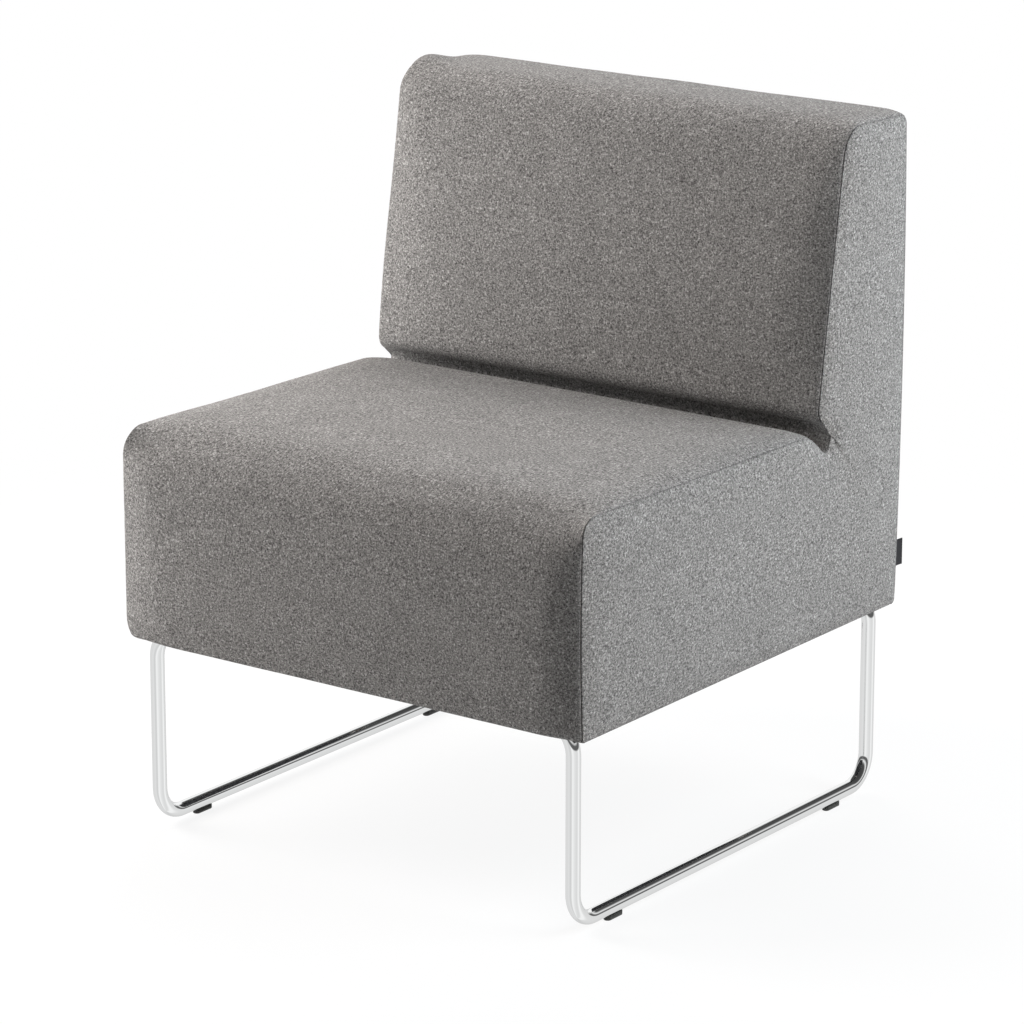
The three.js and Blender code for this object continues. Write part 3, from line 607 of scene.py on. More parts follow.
def cloth_relief(name, grid, normal, held, pressure):
    """How far each point of a grid swells along its normal when the cloth is let go, in metres.

    The cloth is a coarse copy of the grid. Its movement, taken along the normal and capped, is
    spread back over the fine grid by straight interpolation, along the rows and then the columns.
    """
    rows, columns = grid.shape[:2]
    pick_r = np.unique(np.append(np.arange(0, rows, CLOTH_STEP), rows - 1))
    pick_c = np.unique(np.append(np.arange(0, columns, CLOTH_STEP), columns - 1))
    start = grid[pick_r][:, pick_c]
    made = mesh_object(name, start, quads(len(pick_r), len(pick_c)), FELT)
    moved = let_go(made, np.flatnonzero(held[pick_r][:, pick_c].ravel()).tolist(), pressure)
    swell = ((moved.reshape(start.shape) - start) * normal[pick_r][:, pick_c]).sum(-1)
    bpy.data.objects.remove(made)
    bpy.context.scene.frame_set(1)
    swell = soften(np.clip(swell, -CLOTH_CAP, CLOTH_CAP))
    across = np.stack([np.interp(np.arange(columns), pick_c, row) for row in swell])
    return np.stack([np.interp(np.arange(rows), pick_r, line) for line in across.T], -1)


print("cloth: frames", CLOTH_FRAMES, "cap in mm", CLOTH_CAP / MM)

# %% [markdown]
# The photographed chair was sewn and stapled by hand, so it isn't perfectly even. Its seat
# swells to the left towards the front, its rear bows out a little, its top leans by a few
# millimetres and stands up at the left where the seam allowances lie folded, the lower
# left corner of the back hangs lower, and its corners are drawn in at the hem. All covers
# go through the same function, so two panels that share a seam still meet after it.

# %% As sewn
LEFT_SWELL, LEFT_SWELL_END = 13.4 * MM, FRONT + 430 * MM
SWELL_BELOW, SWELL_AT_SEAT = (425 * MM, 462 * MM), 0.3
BACK_SWELL, BACK_SWELL_HEIGHT, BACK_SWELL_REACH = 2 * MM, 560 * MM, 80 * MM
FRONT_WAIST, FRONT_WAIST_DEPTH = 2.5 * MM, 60 * MM
SEAT_LEAN, SEAT_LEAN_REACH, SEAT_LEAN_GROWTH = 2.2 * MM, 25 * MM, 250 * MM
SEAT_LEAN_END, SEAT_LEAN_FADE = SEAT_END + 10 * MM, 30 * MM
FOOT_DROP, FOOT_DROP_REACH, FOOT_DROP_GROWTH = 5.5 * MM, 22 * MM, 12 * MM
HEM_PULL_LEFT, HEM_PULL_RIGHT, HEM_ROUND = 2.5 * MM, 0.6 * MM, 26 * MM
REAR_BOW, REAR_BOW_DEPTH = 5.5 * MM, 60 * MM
TOP_ZONE, TOP_LEAN = (761 * MM, 776 * MM), 2 * MM
EAR_HEIGHT, EAR_Y, EAR_LENGTH, EAR_WIDTH = 9 * MM, REAR - 78 * MM, 26 * MM, 26 * MM
LEFTMOST = 1.02              # the left share goes a little past the seam, with the cover's crown


def bell(distance, reach):
    """e to the minus (distance / reach) squared: 1 at the middle, fading on both sides."""
    return np.exp(-(distance / reach) ** 2)


def smooth_step(t):
    """0 below 0, 1 above 1, and 3 t squared - 2 t cubed between."""
    t = np.clip(t, 0, 1)
    return t * t * (3 - 2 * t)


def middle_out(z, low, high):
    """-1 at the low end, 0 half way and 1 at the high end."""
    return np.clip(2 * (z - low) / (high - low) - 1, -1, 1)


def sideways(x, y, z, left):
    """Out to the left by the swell, which ends at rear and hem; in at the hem and right waist."""
    under = 1 - np.sqrt(1 - np.clip((UNDERSIDE + HEM_ROUND - z) / HEM_ROUND, 0, 1) ** 2)
    forward = np.clip((LEFT_SWELL_END - y) / (LEFT_SWELL_END - FRONT), 0, 1)
    low, high = SWELL_BELOW
    lower = 1 - (1 - SWELL_AT_SEAT) * smooth_step((z - low) / (high - low))
    swell = (LEFT_SWELL * forward * lower * (1 - under)
             + BACK_SWELL * bell(z - BACK_SWELL_HEIGHT, BACK_SWELL_REACH))
    pull = HEM_PULL_RIGHT + (HEM_PULL_LEFT - HEM_PULL_RIGHT) * left
    waist = (FRONT_WAIST * (1 - middle_out(z, UNDERSIDE, SEAT_HEIGHT) ** 2)
             * bell(y - FRONT, FRONT_WAIST_DEPTH) * (1 - np.clip(left, 0, 1)))
    return x - swell * left - x / SEAM_HALF * pull * under - waist


def backwards(y, z):
    """Out by the rear bow, a parabola over the height."""
    behind = np.clip((y - REAR + REAR_BOW_DEPTH) / REAR_BOW_DEPTH, 0, 1) ** 2
    return y + REAR_BOW * (1 - middle_out(z, UNDERSIDE, TOP_HEIGHT) ** 2) * behind


def upwards(x, y, z, left):
    """Up by the top's lean and ear; down, to the left, by the seat's lean and the low foot."""
    low, high = TOP_ZONE
    top = np.clip((z - low) / (high - low), 0, 1)
    ear = EAR_HEIGHT * bell(x + SEAM_HALF, EAR_WIDTH) * bell(y - EAR_Y, EAR_LENGTH)
    lean = (SEAT_LEAN * left ** 2 * bell(z - SEAT_HEIGHT, SEAT_LEAN_REACH)
            * smooth_step((y - FRONT) / SEAT_LEAN_GROWTH)
            * smooth_step((SEAT_LEAN_END - y) / SEAT_LEAN_FADE))
    drop = (FOOT_DROP * left ** 2 * bell(z - FOOT_HEIGHT, FOOT_DROP_REACH)
            * smooth_step((y - SEAT_END) / FOOT_DROP_GROWTH))
    return z - lean - drop + top * (TOP_LEAN * x / SEAM_HALF + ear)


def as_sewn(points):
    """Moves points of the even chair to where the sewn one has them.

    left goes from 0 at the right seam to 1 at the left one, along a straight line.
    """
    x, y, z = points[..., 0], points[..., 1], points[..., 2]
    left = np.clip((SEAM_HALF - x) / (2 * SEAM_HALF), 0, LEFTMOST)
    return np.stack([sideways(x, y, z, left), backwards(y, z), upwards(x, y, z, left)], -1)


front_left = np.array([-SEAM_HALF, FRONT, SEAT_HEIGHT])
print("left seam at the front moves by", np.round((as_sewn(front_left) - front_left) / MM, 1), "mm")

# %% [markdown]
# The strip and the rear panel run from one side of the chair to the other, so they share
# their columns: distances from the seams, close together in the groove and on the roll,
# and even in the middle. The same functions then give both their face, their normals and
# the edge that is turned in at the seams.

# %% Panels across the chair
EDGE = np.array([1.0, 1.4, 2.0, 3.1, 4.8, 6.8, 9.5, 13, 17, 22, 27, 32]) * MM
middle_steps = round((2 * SEAM_HALF - 2 * EDGE[-1]) / FINE)
middle = np.linspace(-1, 1, middle_steps + 1)[1:-1] * (SEAM_HALF - EDGE[-1])
COLUMNS = np.concatenate([-SEAM_HALF + EDGE, middle, SEAM_HALF - EDGE[::-1]])
FROM_SIDE = SEAM_HALF - np.abs(COLUMNS)
INNER_HALF = SEAM_HALF - TUCK


def panel_face(stations, roll, relief=0.0):
    """Outline point + normal * (crown * rise - groove + relief), for each column."""
    y, z, ny, nz, crown = (stations[:, k, None] for k in range(5))
    lift = crown * rise(FROM_SIDE, roll, COLUMNS / SEAM_HALF) - groove(FROM_SIDE) + relief
    return grid_points(COLUMNS, y + ny * lift, z + nz * lift)


def panel_normal(stations, shape):
    """The outline's normal at each point of a panel: it has no part across the chair."""
    return np.broadcast_to(grid_points(0, stations[:, 2, None], stations[:, 3, None]), shape)


def turned_in(stations, face):
    """Adds the turned-in edge: a column at each side, inside the seam and below the outline."""
    deep = TUCK - GAP
    y, z = (stations[:, k, None] - stations[:, k + 2, None] * deep for k in (0, 1))
    return np.concatenate([grid_points(-INNER_HALF, y, z), face, grid_points(INNER_HALF, y, z)], 1)


def turned_in_seam(seam):
    """The seam attribute with the turned-in edges' columns: they are all seam."""
    return np.pad(seam, ((0, 0), (1, 1)), constant_values=1)


print("columns across the chair:", len(COLUMNS))

# %% [markdown]
# The long strip is one length of felt, sewn between the two sides: it covers the front,
# the seat, the crease, the front of the back and the top. Its surface is worked out along
# the outline and across the chair. The foam behind it ends where the wood begins, and that
# is the back of this closed pad. Beside the seams of the front and the back, the felt gets a
# soft dark band of painted shade where the roll turns towards the seam, so the seam
# attribute reaches out there. It is cubed in the felt, so the eye sees a third of its reach.

# %% The strip's rolls and its foam
ROLLS = {"front": 56 * MM, "seat": 32 * MM, "crease": 25 * MM, "back": 80 * MM, "top": 25 * MM}
ROLL_OF_CORNER = np.array([ROLLS[k] for k in (
    "front", "seat", "seat", "crease", "crease", "back", "top", "top", "top")])
LEFT_EASE = 1.5              # the left seam is sewn looser, so its roll is that much wider
BACK_FOAM = 45 * MM
FOAM_HEM = 4 * MM            # the front's foam ends this far above the hem
FOAM_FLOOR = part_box("seat_foam")[0].z
FRONT_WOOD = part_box("front_pad")[1].y
REAR_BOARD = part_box("rear_board")[1]

strip = outline[: np.flatnonzero(outline[:, 5] == TOP_REAR)[-1] + 1]


def smooth_rolls(stations):
    """The roll's width at each station and column, blended from one corner's to the next."""
    corner = stations[:, 5].astype(int)
    wide = ROLL_OF_CORNER[corner]
    after = ROLL_OF_CORNER[np.minimum(corner + 1, len(ROLL_OF_CORNER) - 1)]
    width = wide + (after - wide) * (stations[:, 5] - corner)
    return width[:, None] * np.where(COLUMNS < 0, LEFT_EASE, 1)


def foam_back(stations):
    """Where the foam ends behind each station: a line round the wood's corners, walked in step."""
    slope = math.tan(RECLINE)
    board = FOOT + BACK_FOAM / math.cos(RECLINE)
    top, rear = REAR_BOARD.z + GAP, REAR_BOARD.y + GAP
    line = np.array([
        (FRONT_WOOD, UNDERSIDE + FOAM_HEM),
        (FRONT_WOOD, FOAM_FLOOR),
        (board + (FOAM_FLOOR - FOOT_HEIGHT) * slope - GAP, FOAM_FLOOR),
        (board + (top - FOOT_HEIGHT) * slope - GAP, top),
        (rear, top),
        (rear, stations[-1, 1]),
    ])
    off_floor = np.where(stations[:, 5] > SEAT_FRONT, np.inf, np.abs(stations[:, 1] - FOAM_FLOOR))
    marks = [0, np.argmin(off_floor), np.flatnonzero(stations[:, 5] == CREASE)[-1],
             *(np.flatnonzero(stations[:, 5] == k)[0] for k in (TOP_FRONT, TOP_REAR)),
             len(stations) - 1]
    where = np.arange(len(stations))[:, None]
    return np.interp(where, marks, line[:, 0]), np.interp(where, marks, line[:, 1])


print("stations along the strip:", len(strip))

# %% The strip over the front, the seat and the back
# How much painted shade the front and the back get beside the left and the right seam
VALLEY_SHADE = {"front": (0.78, 0.74), "back": (0.45, 0.87)}
VALLEY_SHADE_WIDTH = 66 * MM
VALLEY_SHADE_COMES, VALLEY_SHADE_GOES = 0.2, 0.25                # shares of a span over which it does
CREASE_ZONE = (SEAT_REAR - 0.1, BACK_FOOT + 0.1)     # by corner number
CREASE_CALM = 16             # stations from the crease over which the relief grows


def painted_valley_shade(corner):
    """Painted shade beside the seams of the front and the back: e to the minus distance / width."""
    on_front = smooth_step((SEAT_FRONT - corner) / VALLEY_SHADE_GOES)[:, None]
    on_back = (smooth_step((corner - BACK_FOOT) / VALLEY_SHADE_COMES)
               * smooth_step((TOP_FRONT - corner) / VALLEY_SHADE_GOES))[:, None]
    height = (on_front * np.where(COLUMNS < 0, *VALLEY_SHADE["front"])
              + on_back * np.where(COLUMNS < 0, *VALLEY_SHADE["back"]))
    return np.exp(-FROM_SIDE / VALLEY_SHADE_WIDTH)[None, :] * height


def strip_pad():
    """The closed strip: its face with a turned-in edge on both sides, and the foam's back."""
    corner, rolls, where = strip[:, 5], smooth_rolls(strip), np.arange(len(strip))
    flat = panel_face(strip, rolls)
    normal = panel_normal(strip, flat.shape)
    in_crease = (corner >= CREASE) & (corner <= CREASE_ROOF)
    held = held_edges(flat.shape, rows=2, columns=3) | in_crease[:, None]
    crease = np.flatnonzero((corner > CREASE_ZONE[0]) & (corner < CREASE_ZONE[1]))
    from_crease = np.abs(where[:, None] - crease).min(1)
    relief = (cloth_relief("strip_cloth", flat, normal, held, STRIP_PRESSURE)
              * np.clip(from_crease / CREASE_CALM, 0, 1)[:, None])
    to_end = where[::-1] * FINE + GROOVE_EDGE
    face = panel_face(strip, rolls, relief) - normal * groove(to_end)[:, None, None]
    face = turned_in(strip, face)
    inner = grid_points(np.clip(face[..., 0], -INNER_HALF, INNER_HALF), *foam_back(strip))
    # Painted shade: the fine seam lines, the wide bands beside the seams, and the line at the
    # strip's end
    seam = np.maximum(np.maximum(nearness(FROM_SIDE)[None, :] * FAINT, painted_valley_shade(corner)),
                      nearness(to_end)[:, None])
    most = round(float(np.abs(relief).max()) / MM, 2)
    print("strip:", face.shape[:2], "points, relief up to", most, "mm")
    return closed_pad("seat_and_back_strip", as_sewn(face), as_sewn(inner), FELT,
                      turned_in_seam(seam))


strip_piece = strip_pad()
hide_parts("main_cover", "front_pad", "seat_foam", "back_foam")
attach(strip_piece, "root")

# %% [markdown]
# Each side is an L of felt over thin foam. An L has no natural rows and columns, so its
# grid is stretched between two lines: the seam that goes up the seat and the back, and the
# line along the bottom and the rear. The inner corner of one goes with the outer corner of
# the other, so the cells fan round the bend of the L. A flat sheet cut out along the
# outline would be simpler, but its long thin triangles would show when it swells.

# %% The side panels' grid
SIDE_HALVES = (0.5, 0.4)     # lengths of the L's lying and standing half, for the count of rows
SIDE_LINES = 54
ROW_CROWDING, LINE_CROWDING = 0.7, 0.75
ROUND_ENDS = 4               # the rounding of the two ends dies away as this power
CHUNKS = 40                  # a grid's distances are worked out in parts, to save memory
SMALLEST_SQUARE = 1e-12      # keeps an edge of no length from dividing by nothing


def along(line, shares):
    """Points at shares of the length of a line of points."""
    length = lengths(line)
    return np.stack([np.interp(shares * length[-1], length, line[:, k]) for k in (0, 1)], -1)


def crowded(count, crowding):
    """Shares from 0 to 1, closer together at both ends: t - crowding / 2 pi * sin(2 pi t)."""
    t = np.linspace(0, 1, count)
    return t - crowding / (2 * math.pi) * np.sin(2 * math.pi * t)


def off_chord(line, shares):
    """How far a line's points, at shares of its length, stand off the straight between its ends."""
    return along(line, shares) - (line[0] + (line[-1] - line[0]) * shares[:, None])


def side_grid(inset):
    """Points of the L: (1 - v) low + v high, plus the rounding of the ends, a fading power of u."""
    ring = walk(CORNERS, FINE, inset=inset)
    mid = [int(np.mean(np.flatnonzero(ring[:, 5] == k))) for k in range(len(CORNERS))]
    ring = ring[:, :2]
    seat, lean = ring[mid[SEAT_FRONT]:mid[CREASE] + 1], ring[mid[CREASE]:mid[TOP_FRONT] + 1]
    bottom = np.concatenate([ring[mid[REAR_HEM]:], ring[:mid[HEM] + 1]])[::-1]
    rear = ring[mid[TOP_REAR]:mid[REAR_HEM] + 1][::-1]
    front = ring[mid[HEM]:mid[SEAT_FRONT] + 1]
    top = ring[mid[TOP_FRONT]:mid[TOP_REAR] + 1][::-1]
    counts = [int(length / FINE) for length in SIDE_HALVES]
    half = [crowded(2 * n, ROW_CROWDING)[:n + 1] for n in counts]
    first, second = half[0] / half[0][-1], 1 - (half[1] / half[1][-1])[::-1]
    high = np.concatenate([along(seat, first), along(lean, second)[1:]])
    low = np.concatenate([along(bottom, first), along(rear, second)[1:]])
    v = crowded(SIDE_LINES, LINE_CROWDING)
    u = np.linspace(0, 1, len(high))[:, None, None]
    lines = low[:, None] + (high - low)[:, None] * v[None, :, None]
    return (lines + (1 - u) ** ROUND_ENDS * off_chord(front, v)
            + u ** ROUND_ENDS * off_chord(top, v))


def edge_distance(grid, ring):
    """Shortest distance from each point to a closed ring of points, edge by edge."""
    a, b = ring, np.roll(ring, -1, axis=0)
    best = []
    for part in np.array_split(grid.reshape(-1, 1, 2), CHUNKS):
        share = ((part - a) * (b - a)).sum(-1) / np.maximum(((b - a) ** 2).sum(-1), SMALLEST_SQUARE)
        nearest = a + np.clip(share, 0, 1)[..., None] * (b - a)
        best.append(np.linalg.norm(part - nearest, axis=-1).min(1))
    return np.concatenate(best).reshape(grid.shape[:2])


print("rows and lines of a side panel:", side_grid(GROOVE_EDGE).shape[:2])

# %% [markdown]
# The foam of a side is thin, so its crown is small. Near the front and the rear it lies
# flatter still, because the felt is pulled round the frame there. Its seams are pressed and
# their dark line of painted shade is faint, except the one with the rear panel, which shows
# as a plain dark line of painted shade.

# %% Side panels
SIDE_CROWN, SIDE_ROLL = 5 * MM, 18 * MM
FLAT_FRONT, FLAT_FRONT_REACH = 0.5, 70 * MM
FLAT_REAR, FLAT_REAR_REACH = 0.6, 45 * MM
REAR_SEAM_DEPTH, REAR_SEAM_FADE, REAR_SEAM_WIDER = 12 * MM, 8 * MM, 1.5


def side_pad(side, name):
    """The closed side panel: its face at side * (seam + crown * rise - groove + relief)."""
    grid = side_grid(GROOVE_EDGE)
    distance = edge_distance(grid, outline[:, :2])
    widest = distance.max()
    y, z = grid[..., 0], grid[..., 1]
    crown = SIDE_CROWN * (1 - FLAT_FRONT * bell(y - FRONT, FLAT_FRONT_REACH)
                          - FLAT_REAR * bell(y - REAR, FLAT_REAR_REACH))
    lift = crown * rise(distance, SIDE_ROLL, 1 - distance / widest) - groove(distance)
    flat = grid_points(side * (SEAM_HALF + lift), y, z)
    normal = np.broadcast_to(np.array([float(side), 0, 0]), flat.shape)
    held = held_edges(flat.shape, rows=1, columns=2)
    relief = cloth_relief(name + "_cloth", flat, normal, held, PANEL_PRESSURE)
    face = flat + normal * relief[..., None]
    back_grid = side_grid(TUCK)
    inner = grid_points(side * (INNER_HALF + GAP), back_grid[..., 0], back_grid[..., 1])
    # Painted shade: the seam lines' dark colour, wider and full at the seam with the rear panel
    rearmost = smooth_step((y - REAR + REAR_SEAM_DEPTH) / REAR_SEAM_FADE)
    seam = nearness(distance / (1 + REAR_SEAM_WIDER * rearmost)) * (FAINT + (1 - FAINT) * rearmost)
    print(name, "grid", face.shape[:2], "widest", round(float(widest) / MM), "mm")
    return closed_pad(name, as_sewn(face), as_sewn(inner), FELT, seam)


for side, word in ((-1, "left"), (1, "right")):
    piece = side_pad(side, f"side_panel_felt_{word}")
    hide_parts(f"side_cover_{word}", f"side_pad_{word}")
    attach(piece, "root")

# %% [markdown]
# The rear is a flat panel over thin foam on hardboard. It is sewn to both sides and to
# the strip, and it is drawn down tight, so its crown is small. It is made as the strip is,
# on the stations between the top's rear edge and the hem.

# %% Rear panel
REAR_ROLL = 16 * MM
REAR_START = 0.06            # the first row lies that share of a step below the strip's last one
REAR_FOOT = 1.5 * MM         # the back of the pad ends this far above the hem


def rear_pad():
    """The closed rear panel: its face over the outline's rear, its back on the board."""
    start, end = (np.flatnonzero(outline[:, 5] == k)[-1] for k in (TOP_REAR, REAR_HEM))
    rows = outline[start:end + 1].copy()
    rows[0, :2] = rows[0, :2] + (rows[1, :2] - rows[0, :2]) * REAR_START
    below = (rows[0, 1] - rows[:, 1] + GROOVE_EDGE)[:, None]
    flat = panel_face(rows, REAR_ROLL, -groove(below))
    normal = panel_normal(rows, flat.shape)
    held = held_edges(flat.shape, rows=2, columns=3)
    relief = cloth_relief("rear_cloth", flat, normal, held, PANEL_PRESSURE)
    face = turned_in(rows, flat + normal * relief[..., None])
    inner = grid_points(np.clip(face[..., 0], -INNER_HALF, INNER_HALF), REAR_BOARD.y + GAP,
                        np.clip(face[..., 2], UNDERSIDE + REAR_FOOT, None))
    # Painted shade: the dark lines along the side seams and the top seam
    seam = turned_in_seam(np.maximum(nearness(FROM_SIDE)[None, :], nearness(below)))
    print("rear:", face.shape[:2], "points")
    return closed_pad("rear_panel_felt", as_sewn(face), as_sewn(inner), FELT, seam)


rear_piece = rear_pad()
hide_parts("rear_cover", "rear_pad")
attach(rear_piece, "root")

# %% [markdown]
# A half of the sled is one length of tube, bent four times. A circle carried along its
# middle line gives the tube, and the line itself is a row of corners with the bending
# tool's radius. A curve object with a bevel would do too, but its bends are only nearly
# round. The solid's tube has twelve flat sides, and its flats lie a little inside the true
# circle, which is why the middle line isn't simply a radius inside the solid's box.

# %% Sled tubes
tube_low, tube_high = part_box("sled_tube_right")
TUBE_RADIUS, BEND_RADIUS = 8 * MM, 35 * MM
TUBE_SIDES, BEND_STEPS = 40, 18
FLAT_INSET = 0.27 * MM       # radius * (1 - cos 15 degrees)
HALF_JOINT = 0.15 * MM       # from the chair's middle to the end of each half
TUBE_FRONT, TUBE_LOW = (v + TUBE_RADIUS - FLAT_INSET for v in (tube_low.y, tube_low.z))
TUBE_REAR, TUBE_HIGH = (v - TUBE_RADIUS + FLAT_INSET for v in (tube_high.y, tube_high.z))


def bent_line(points, radius):
    """Stations along corners rounded with a radius: arc points turn about the bend's centre."""
    stations = [points[0]]
    for before, here, after in zip(points[:-2], points[1:-1], points[2:]):
        arrive = (here - before) / np.linalg.norm(here - before)
        leave = (after - here) / np.linalg.norm(after - here)
        angle = math.acos(arrive @ leave)
        inwards = (leave - arrive) / np.linalg.norm(leave - arrive)
        centre = here + inwards * radius / math.cos(angle / 2)
        start = here - arrive * radius * math.tan(angle / 2) - centre
        t = np.linspace(0, angle, BEND_STEPS + 1)[:, None]
        stations.extend(centre + start * np.cos(t) + arrive * radius * np.sin(t))
    stations.append(points[-1])
    return np.array(stations)


def tube(name, line, radius, sides, material):
    """A circle carried along a line. Its first direction turns with each change of heading."""
    heading = np.gradient(line, axis=0)
    heading /= np.linalg.norm(heading, axis=1, keepdims=True)
    up = np.array([0, 0, 1.0])
    ups = []
    for ahead in heading:
        up = up - ahead * (up @ ahead)
        up /= np.linalg.norm(up)
        ups.append(up)
    ups = np.array(ups)
    across = np.cross(heading, ups)
    angle = np.linspace(0, 2 * math.pi, sides, endpoint=False)[None, :, None]
    ring = (ups[:, None] * np.cos(angle) + across[:, None] * np.sin(angle)) * radius
    return ringed_body(name, line[:, None] + ring, material)


for side, word in ((-1, "left"), (1, "right")):
    leg, joint = side * (tube_high.x - TUBE_RADIUS), side * HALF_JOINT
    corners = np.array([(joint, TUBE_FRONT, TUBE_HIGH), (leg, TUBE_FRONT, TUBE_HIGH),
                        (leg, TUBE_FRONT, TUBE_LOW), (leg, TUBE_REAR, TUBE_LOW),
                        (leg, TUBE_REAR, TUBE_HIGH), (joint, TUBE_REAR, TUBE_HIGH)])
    line = bent_line(corners, BEND_RADIUS)
    piece = tube(f"chrome_sled_{word}", line, TUBE_RADIUS, TUBE_SIDES, CHROME)
    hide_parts(f"sled_tube_{word}")
    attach(piece, "root")
print("tube: radius", TUBE_RADIUS / MM, "mm, runner at", round(TUBE_LOW / MM, 1), "mm")

# %% [markdown]
# A glide is a small moulded shoe under the runner: a flat sole with rounded ends and soft
# edges, hollowed on top so that it hugs the tube. A row of rings, each a stadium, gives
# the soft edge, and the hollow is pressed into the top by the tube's own circle.

# %% Glides
GLIDE_TOP, GLIDE_SOLE = 7 * MM, 3 * MM               # above the floor
GLIDE_EDGE, GLIDE_TOP_EDGE = 1.2 * MM, 0.6           # radius below, and the top's as a share of it
GLIDE_POINTS, GLIDE_ARC = 64, 6
GLIDE_CAP = (0.98, 0.6)      # insets of the flat rings, as shares of half the width


def glide_piece(name, node_name):
    """Rings of a stadium from the sole up. Beside the tube, the top follows the tube's circle."""
    low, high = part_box(node_name)
    centre = (low + high) / 2
    half_width, half_length = (high.x - low.x) / 2, (high.y - low.y) / 2
    angle = np.linspace(0, 2 * math.pi, GLIDE_POINTS, endpoint=False)
    unit_x, unit_y = np.cos(angle), np.sin(angle)
    shift = np.sign(unit_y) * (half_length - half_width)
    top = low.z + GLIDE_TOP
    turn = np.linspace(0, math.pi / 2, GLIDE_ARC)
    sole_rings = half_width * np.array(GLIDE_CAP)
    insets = np.concatenate([sole_rings, GLIDE_EDGE * (1 - np.sin(turn)),
                             GLIDE_EDGE * GLIDE_TOP_EDGE * (1 - np.cos(turn)), sole_rings[::-1]])
    heights = np.concatenate([[low.z, low.z], low.z + GLIDE_EDGE * (1 - np.cos(turn)),
                              top - GLIDE_EDGE * GLIDE_TOP_EDGE * (1 - np.sin(turn)), [top, top]])
    radius = (half_width - insets)[:, None]
    x = centre.x + radius * unit_x
    y = centre.y + radius * unit_y + shift
    hug = TUBE_LOW - np.sqrt(np.maximum((TUBE_RADIUS + GAP) ** 2 - (x - centre.x) ** 2, 0))
    level = heights[:, None]
    z = np.where(level > low.z + GLIDE_SOLE, np.minimum(level, hug), level)
    return ringed_body(name, grid_points(x, y, z), NYLON)


for row in ("front", "rear"):
    for word in ("left", "right"):
        piece = glide_piece(f"nylon_glide_{row}_{word}", f"glide_{row}_{word}")
        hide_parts(f"glide_{row}_{word}")
        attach(piece, "root")
print("glides: points round each ring", GLIDE_POINTS)

# %% [markdown]
# A small tape is folded double and caught in the rear right seam. It is left bare here.
# Its section in plan is a narrow hairpin, two leaves and a round fold, and a second
# hairpin inside the first gives the tape its thickness.

# %% Label
LABEL_TAPE, LABEL_LEAF = 0.35 * MM, 0.45 * MM        # thickness, and middle to outside
LABEL_ROOT, LABEL_PROUD = 5 * MM, 1.2 * MM           # into the seam, and past the solid
LABEL_CURL = 0.8 * MM
LABEL_ROWS, LEAF_POINTS, FOLD_POINTS = 16, 9, 12
label_low, label_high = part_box("label")


def folded_label():
    """A hairpin section in plan, swept up the height. It curls out as the square of the reach."""
    fold = label_high.y + LABEL_PROUD - LABEL_LEAF
    turn = np.linspace(-math.pi / 2, math.pi / 2, FOLD_POINTS)
    run = np.linspace(label_low.y - LABEL_ROOT, fold, LEAF_POINTS + 1)[:-1]
    x = np.concatenate([np.full(LEAF_POINTS, LABEL_LEAF), LABEL_LEAF * np.cos(turn + math.pi / 2),
                        np.full(LEAF_POINTS, -LABEL_LEAF)])
    y = np.concatenate([run, fold + LABEL_LEAF * np.sin(turn + math.pi / 2), run[::-1]])
    middle = (label_low.x + label_high.x) / 2
    curl = LABEL_CURL * np.clip((y - label_low.y) / (label_high.y - label_low.y), 0, 1) ** 2
    height = np.linspace(label_low.z, label_high.z, LABEL_ROWS)[:, None]
    face = grid_points(middle + x + curl, y, height)
    inner = grid_points(x * (1 - LABEL_TAPE / LABEL_LEAF) + middle + curl,
                        np.minimum(y, fold + LABEL_LEAF - LABEL_TAPE), height)
    return closed_pad("folded_seam_label", face, inner, TAPE)


label_piece = folded_label()
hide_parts("label")
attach(label_piece, "root")
print("label height in mm:", round((label_high.z - label_low.z) / MM, 1))

# %% [markdown]
# The chair stands on plain white paper. To the camera the paper and the backdrop glow
# white by themselves, apart from a little round the chair, where its soft shadow stays.
# The object is lit by lamps alone. To reflections the paper isn't there, so the tube sees
# the room's lower half instead.

# %% Studio floor
PAPER_HALF = 30
GLOW_REACH, GLOW = (0.5, 1.6), (0.88, 1.0)   # metres from the middle, and the glow's share there


def studio_floor():
    """White paper. Its glow grows with the distance from the chair, and only the camera sees it."""
    m = new_material("studio_floor_paper")
    away = (node(m, "ShaderNodeVectorMath", {"operation": "LENGTH"}, _0=object_space(m)), "Value")
    rays = node(m, "ShaderNodeLightPath")
    seen = maths(m, "MULTIPLY", rescaled(m, away, GLOW_REACH, GLOW), (rays, "Is Camera Ray"))
    paper = node(m, "ShaderNodeBsdfDiffuse", Color=linear("#d4d4d4"))
    glow = node(m, "ShaderNodeEmission", Color=(1, 1, 1, 1), Strength=1.0)
    shown = node(m, "ShaderNodeMixShader", _0=seen, _1=(paper, 0), _2=(glow, 0))
    passed = node(m, "ShaderNodeBsdfTransparent")
    return close(m, node(m, "ShaderNodeMixShader", _0=(rays, "Is Glossy Ray"), _1=(shown, 0),
                         _2=(passed, 0)))


paper_sides = np.array([-PAPER_HALF, PAPER_HALF], float)
floor = mesh_object("studio_floor", grid_points(paper_sides, paper_sides[:, None], 0.0),
                    np.array([[0, 1, 3, 2]]), studio_floor())
print("floor paper, in metres:", 2 * PAPER_HALF)

# %% [markdown]
# Chrome shows nothing but what it reflects, and in a plain white room it turns to white.
# The photo's tube has dark and light bands, so reflections alone see a room: a dark gap
# low down, a pale wall, a dark ceiling, a pale backdrop behind the chair, and below the
# horizon sheets of paper that are lighter in some directions. The camera sees plain white,
# and the felt gets no light from this room.

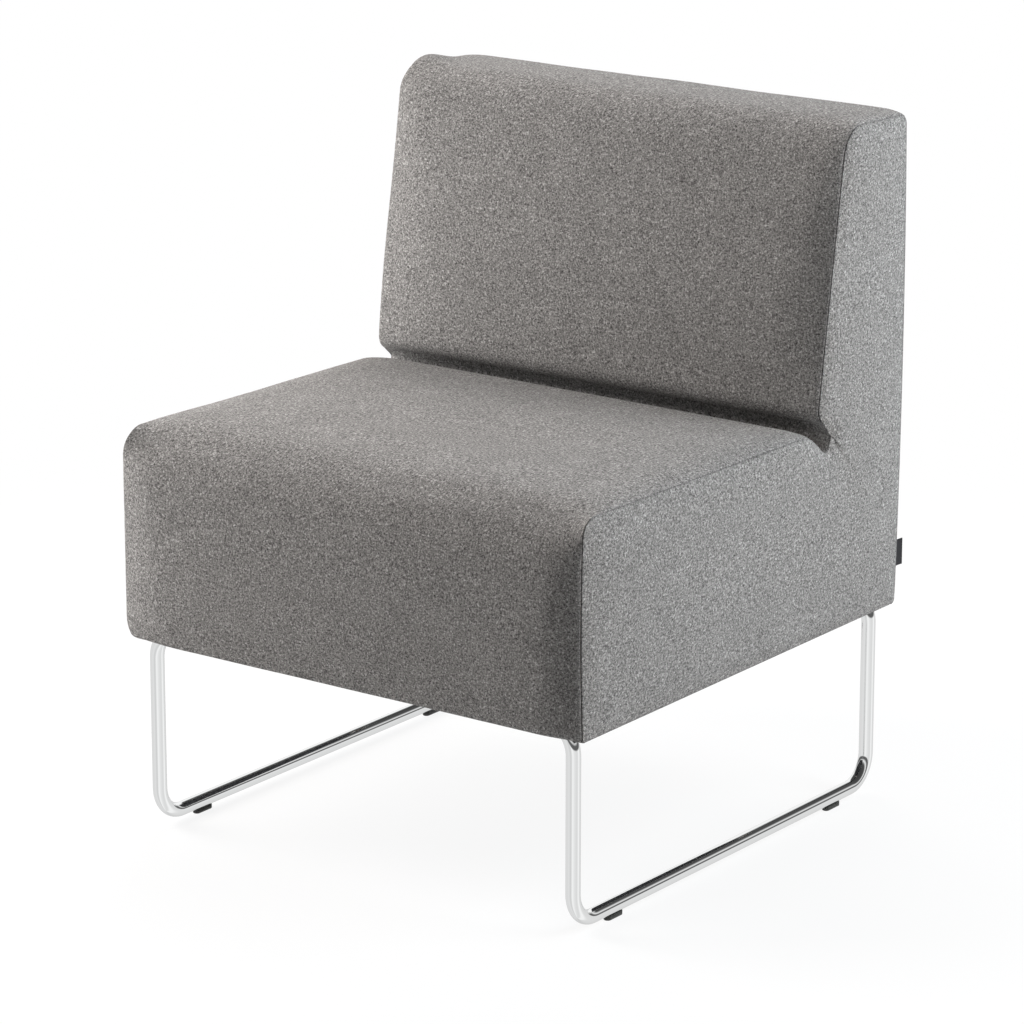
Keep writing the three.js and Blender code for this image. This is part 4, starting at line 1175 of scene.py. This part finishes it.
# %% The room that the chrome sees
# By height: (z of the direction, grey)
WALL = (
    (0.02, "#616161"), (0.16, "#616161"), (0.27, "#e1e1e1"), (0.34, "#eeeeee"), (0.43, "#a0a0a0"),
    (0.52, "#505050"), (1.0, "#3f3f3f"))
# Round the room: (share of the round, grey). A quarter of it is in front of the chair
PAPER_SHEETS = (
    (0.0, "#e7e7e7"), (0.08, "#e4e4e4"), (0.16, "#ececec"), (0.235, "#dcdcdc"), (0.265, "#dcdcdc"),
    (0.30, "#fbfbfb"), (0.34, "#ffffff"), (0.37, "#f4f4f4"), (0.42, "#ededed"), (0.49, "#e6e6e6"),
    (0.53, "#e8e8e8"), (0.57, "#ffffff"), (0.605, "#ffffff"), (0.64, "#e8e8e8"), (0.72, "#e2e2e2"),
    (0.85, "#d6d6d6"), (1.0, "#e7e7e7"))
# The backdrop by share of the round and by height, and the horizon: each fades over such a range
BACKDROP_FROM, BACKDROP_TO, BACKDROP_TOP = (0.70, 0.76), (1.0, 0.94), (0.62, 0.50)
HORIZON = (-0.06, 0.02)

world = bpy.data.worlds.new("studio_room")
bpy.context.scene.world = world
world.use_nodes = True
world.node_tree.nodes.clear()
rays = node(world, "ShaderNodeLightPath")
white = maths(world, "MAXIMUM", (rays, "Is Camera Ray"), (rays, "Is Transmission Ray"))
heading = (node(world, "ShaderNodeTexCoord"), "Generated")
height = (node(world, "ShaderNodeSeparateXYZ", Vector=heading), "Z")
radial = node(world, "ShaderNodeTexGradient", {"gradient_type": "RADIAL"}, Vector=heading)
round_the_room = (radial, 0)
wide = maths(world, "MULTIPLY", rescaled(world, round_the_room, BACKDROP_FROM, soft=True),
             rescaled(world, round_the_room, BACKDROP_TO, soft=True))
backdrop = maths(world, "MULTIPLY", wide, rescaled(world, height, BACKDROP_TOP, soft=True))
upper = maths(world, "MAXIMUM", ramp(world, height, *WALL), backdrop)
lower = ramp(world, round_the_room, *PAPER_SHEETS)
room = rescaled(world, height, HORIZON, (lower, upper), soft=True)
strength = rescaled(world, (rays, "Is Glossy Ray"), new=(white, room))
shine = node(world, "ShaderNodeBackground", Color=(1, 1, 1, 1), Strength=strength)
node(world, "ShaderNodeOutputWorld", Surface=(shine, 0))
print("nodes of the room:", len(world.node_tree.nodes))

# %% [markdown]
# Six soft lamps light the chair: a large warm one from the left, a large cool one from
# behind on the right, two low ones that lift the front and the side, and two behind it.
# Their powers were fitted until the felt came out about as bright as in the photo, patch
# by patch. Reflections don't see them, because the room above has its own light places.

# %% Lamps
SEAT_MIDDLE = Vector((0, 0, 0.45))
# Azimuth, elevation, distance, size, power and colour
LAMPS = {
    "left_softbox": (-60, 40, 3.0, 1.6, 102, "#fffbf8"),
    "low_left_softbox": (-70, 5, 1.3, 0.8, 21, "#ffffff"),
    "low_right_softbox": (104, 13, 2.4, 1.1, 32, "#fffdfa"),
    "right_softbox": (112, 36, 3.0, 1.6, 76, "#f2f9ff"),
    "rear_right_softbox": (150, 20, 2.5, 1.4, 22, "#d8f0ff"),
    "rear_left_softbox": (-150, 50, 2.5, 1.4, 42, "#fff8f3"),
}
for name, (azimuth, elevation, distance, size, power, colour) in LAMPS.items():
    lamp = bpy.data.lights.new(name, "AREA")
    lamp.shape, lamp.size, lamp.energy, lamp.color = "SQUARE", size, power, linear(colour)[:3]
    place(name, lamp, SEAT_MIDDLE, azimuth, elevation, distance).visible_glossy = False
view_settings = bpy.context.scene.view_settings
view_settings.view_transform = "Standard"
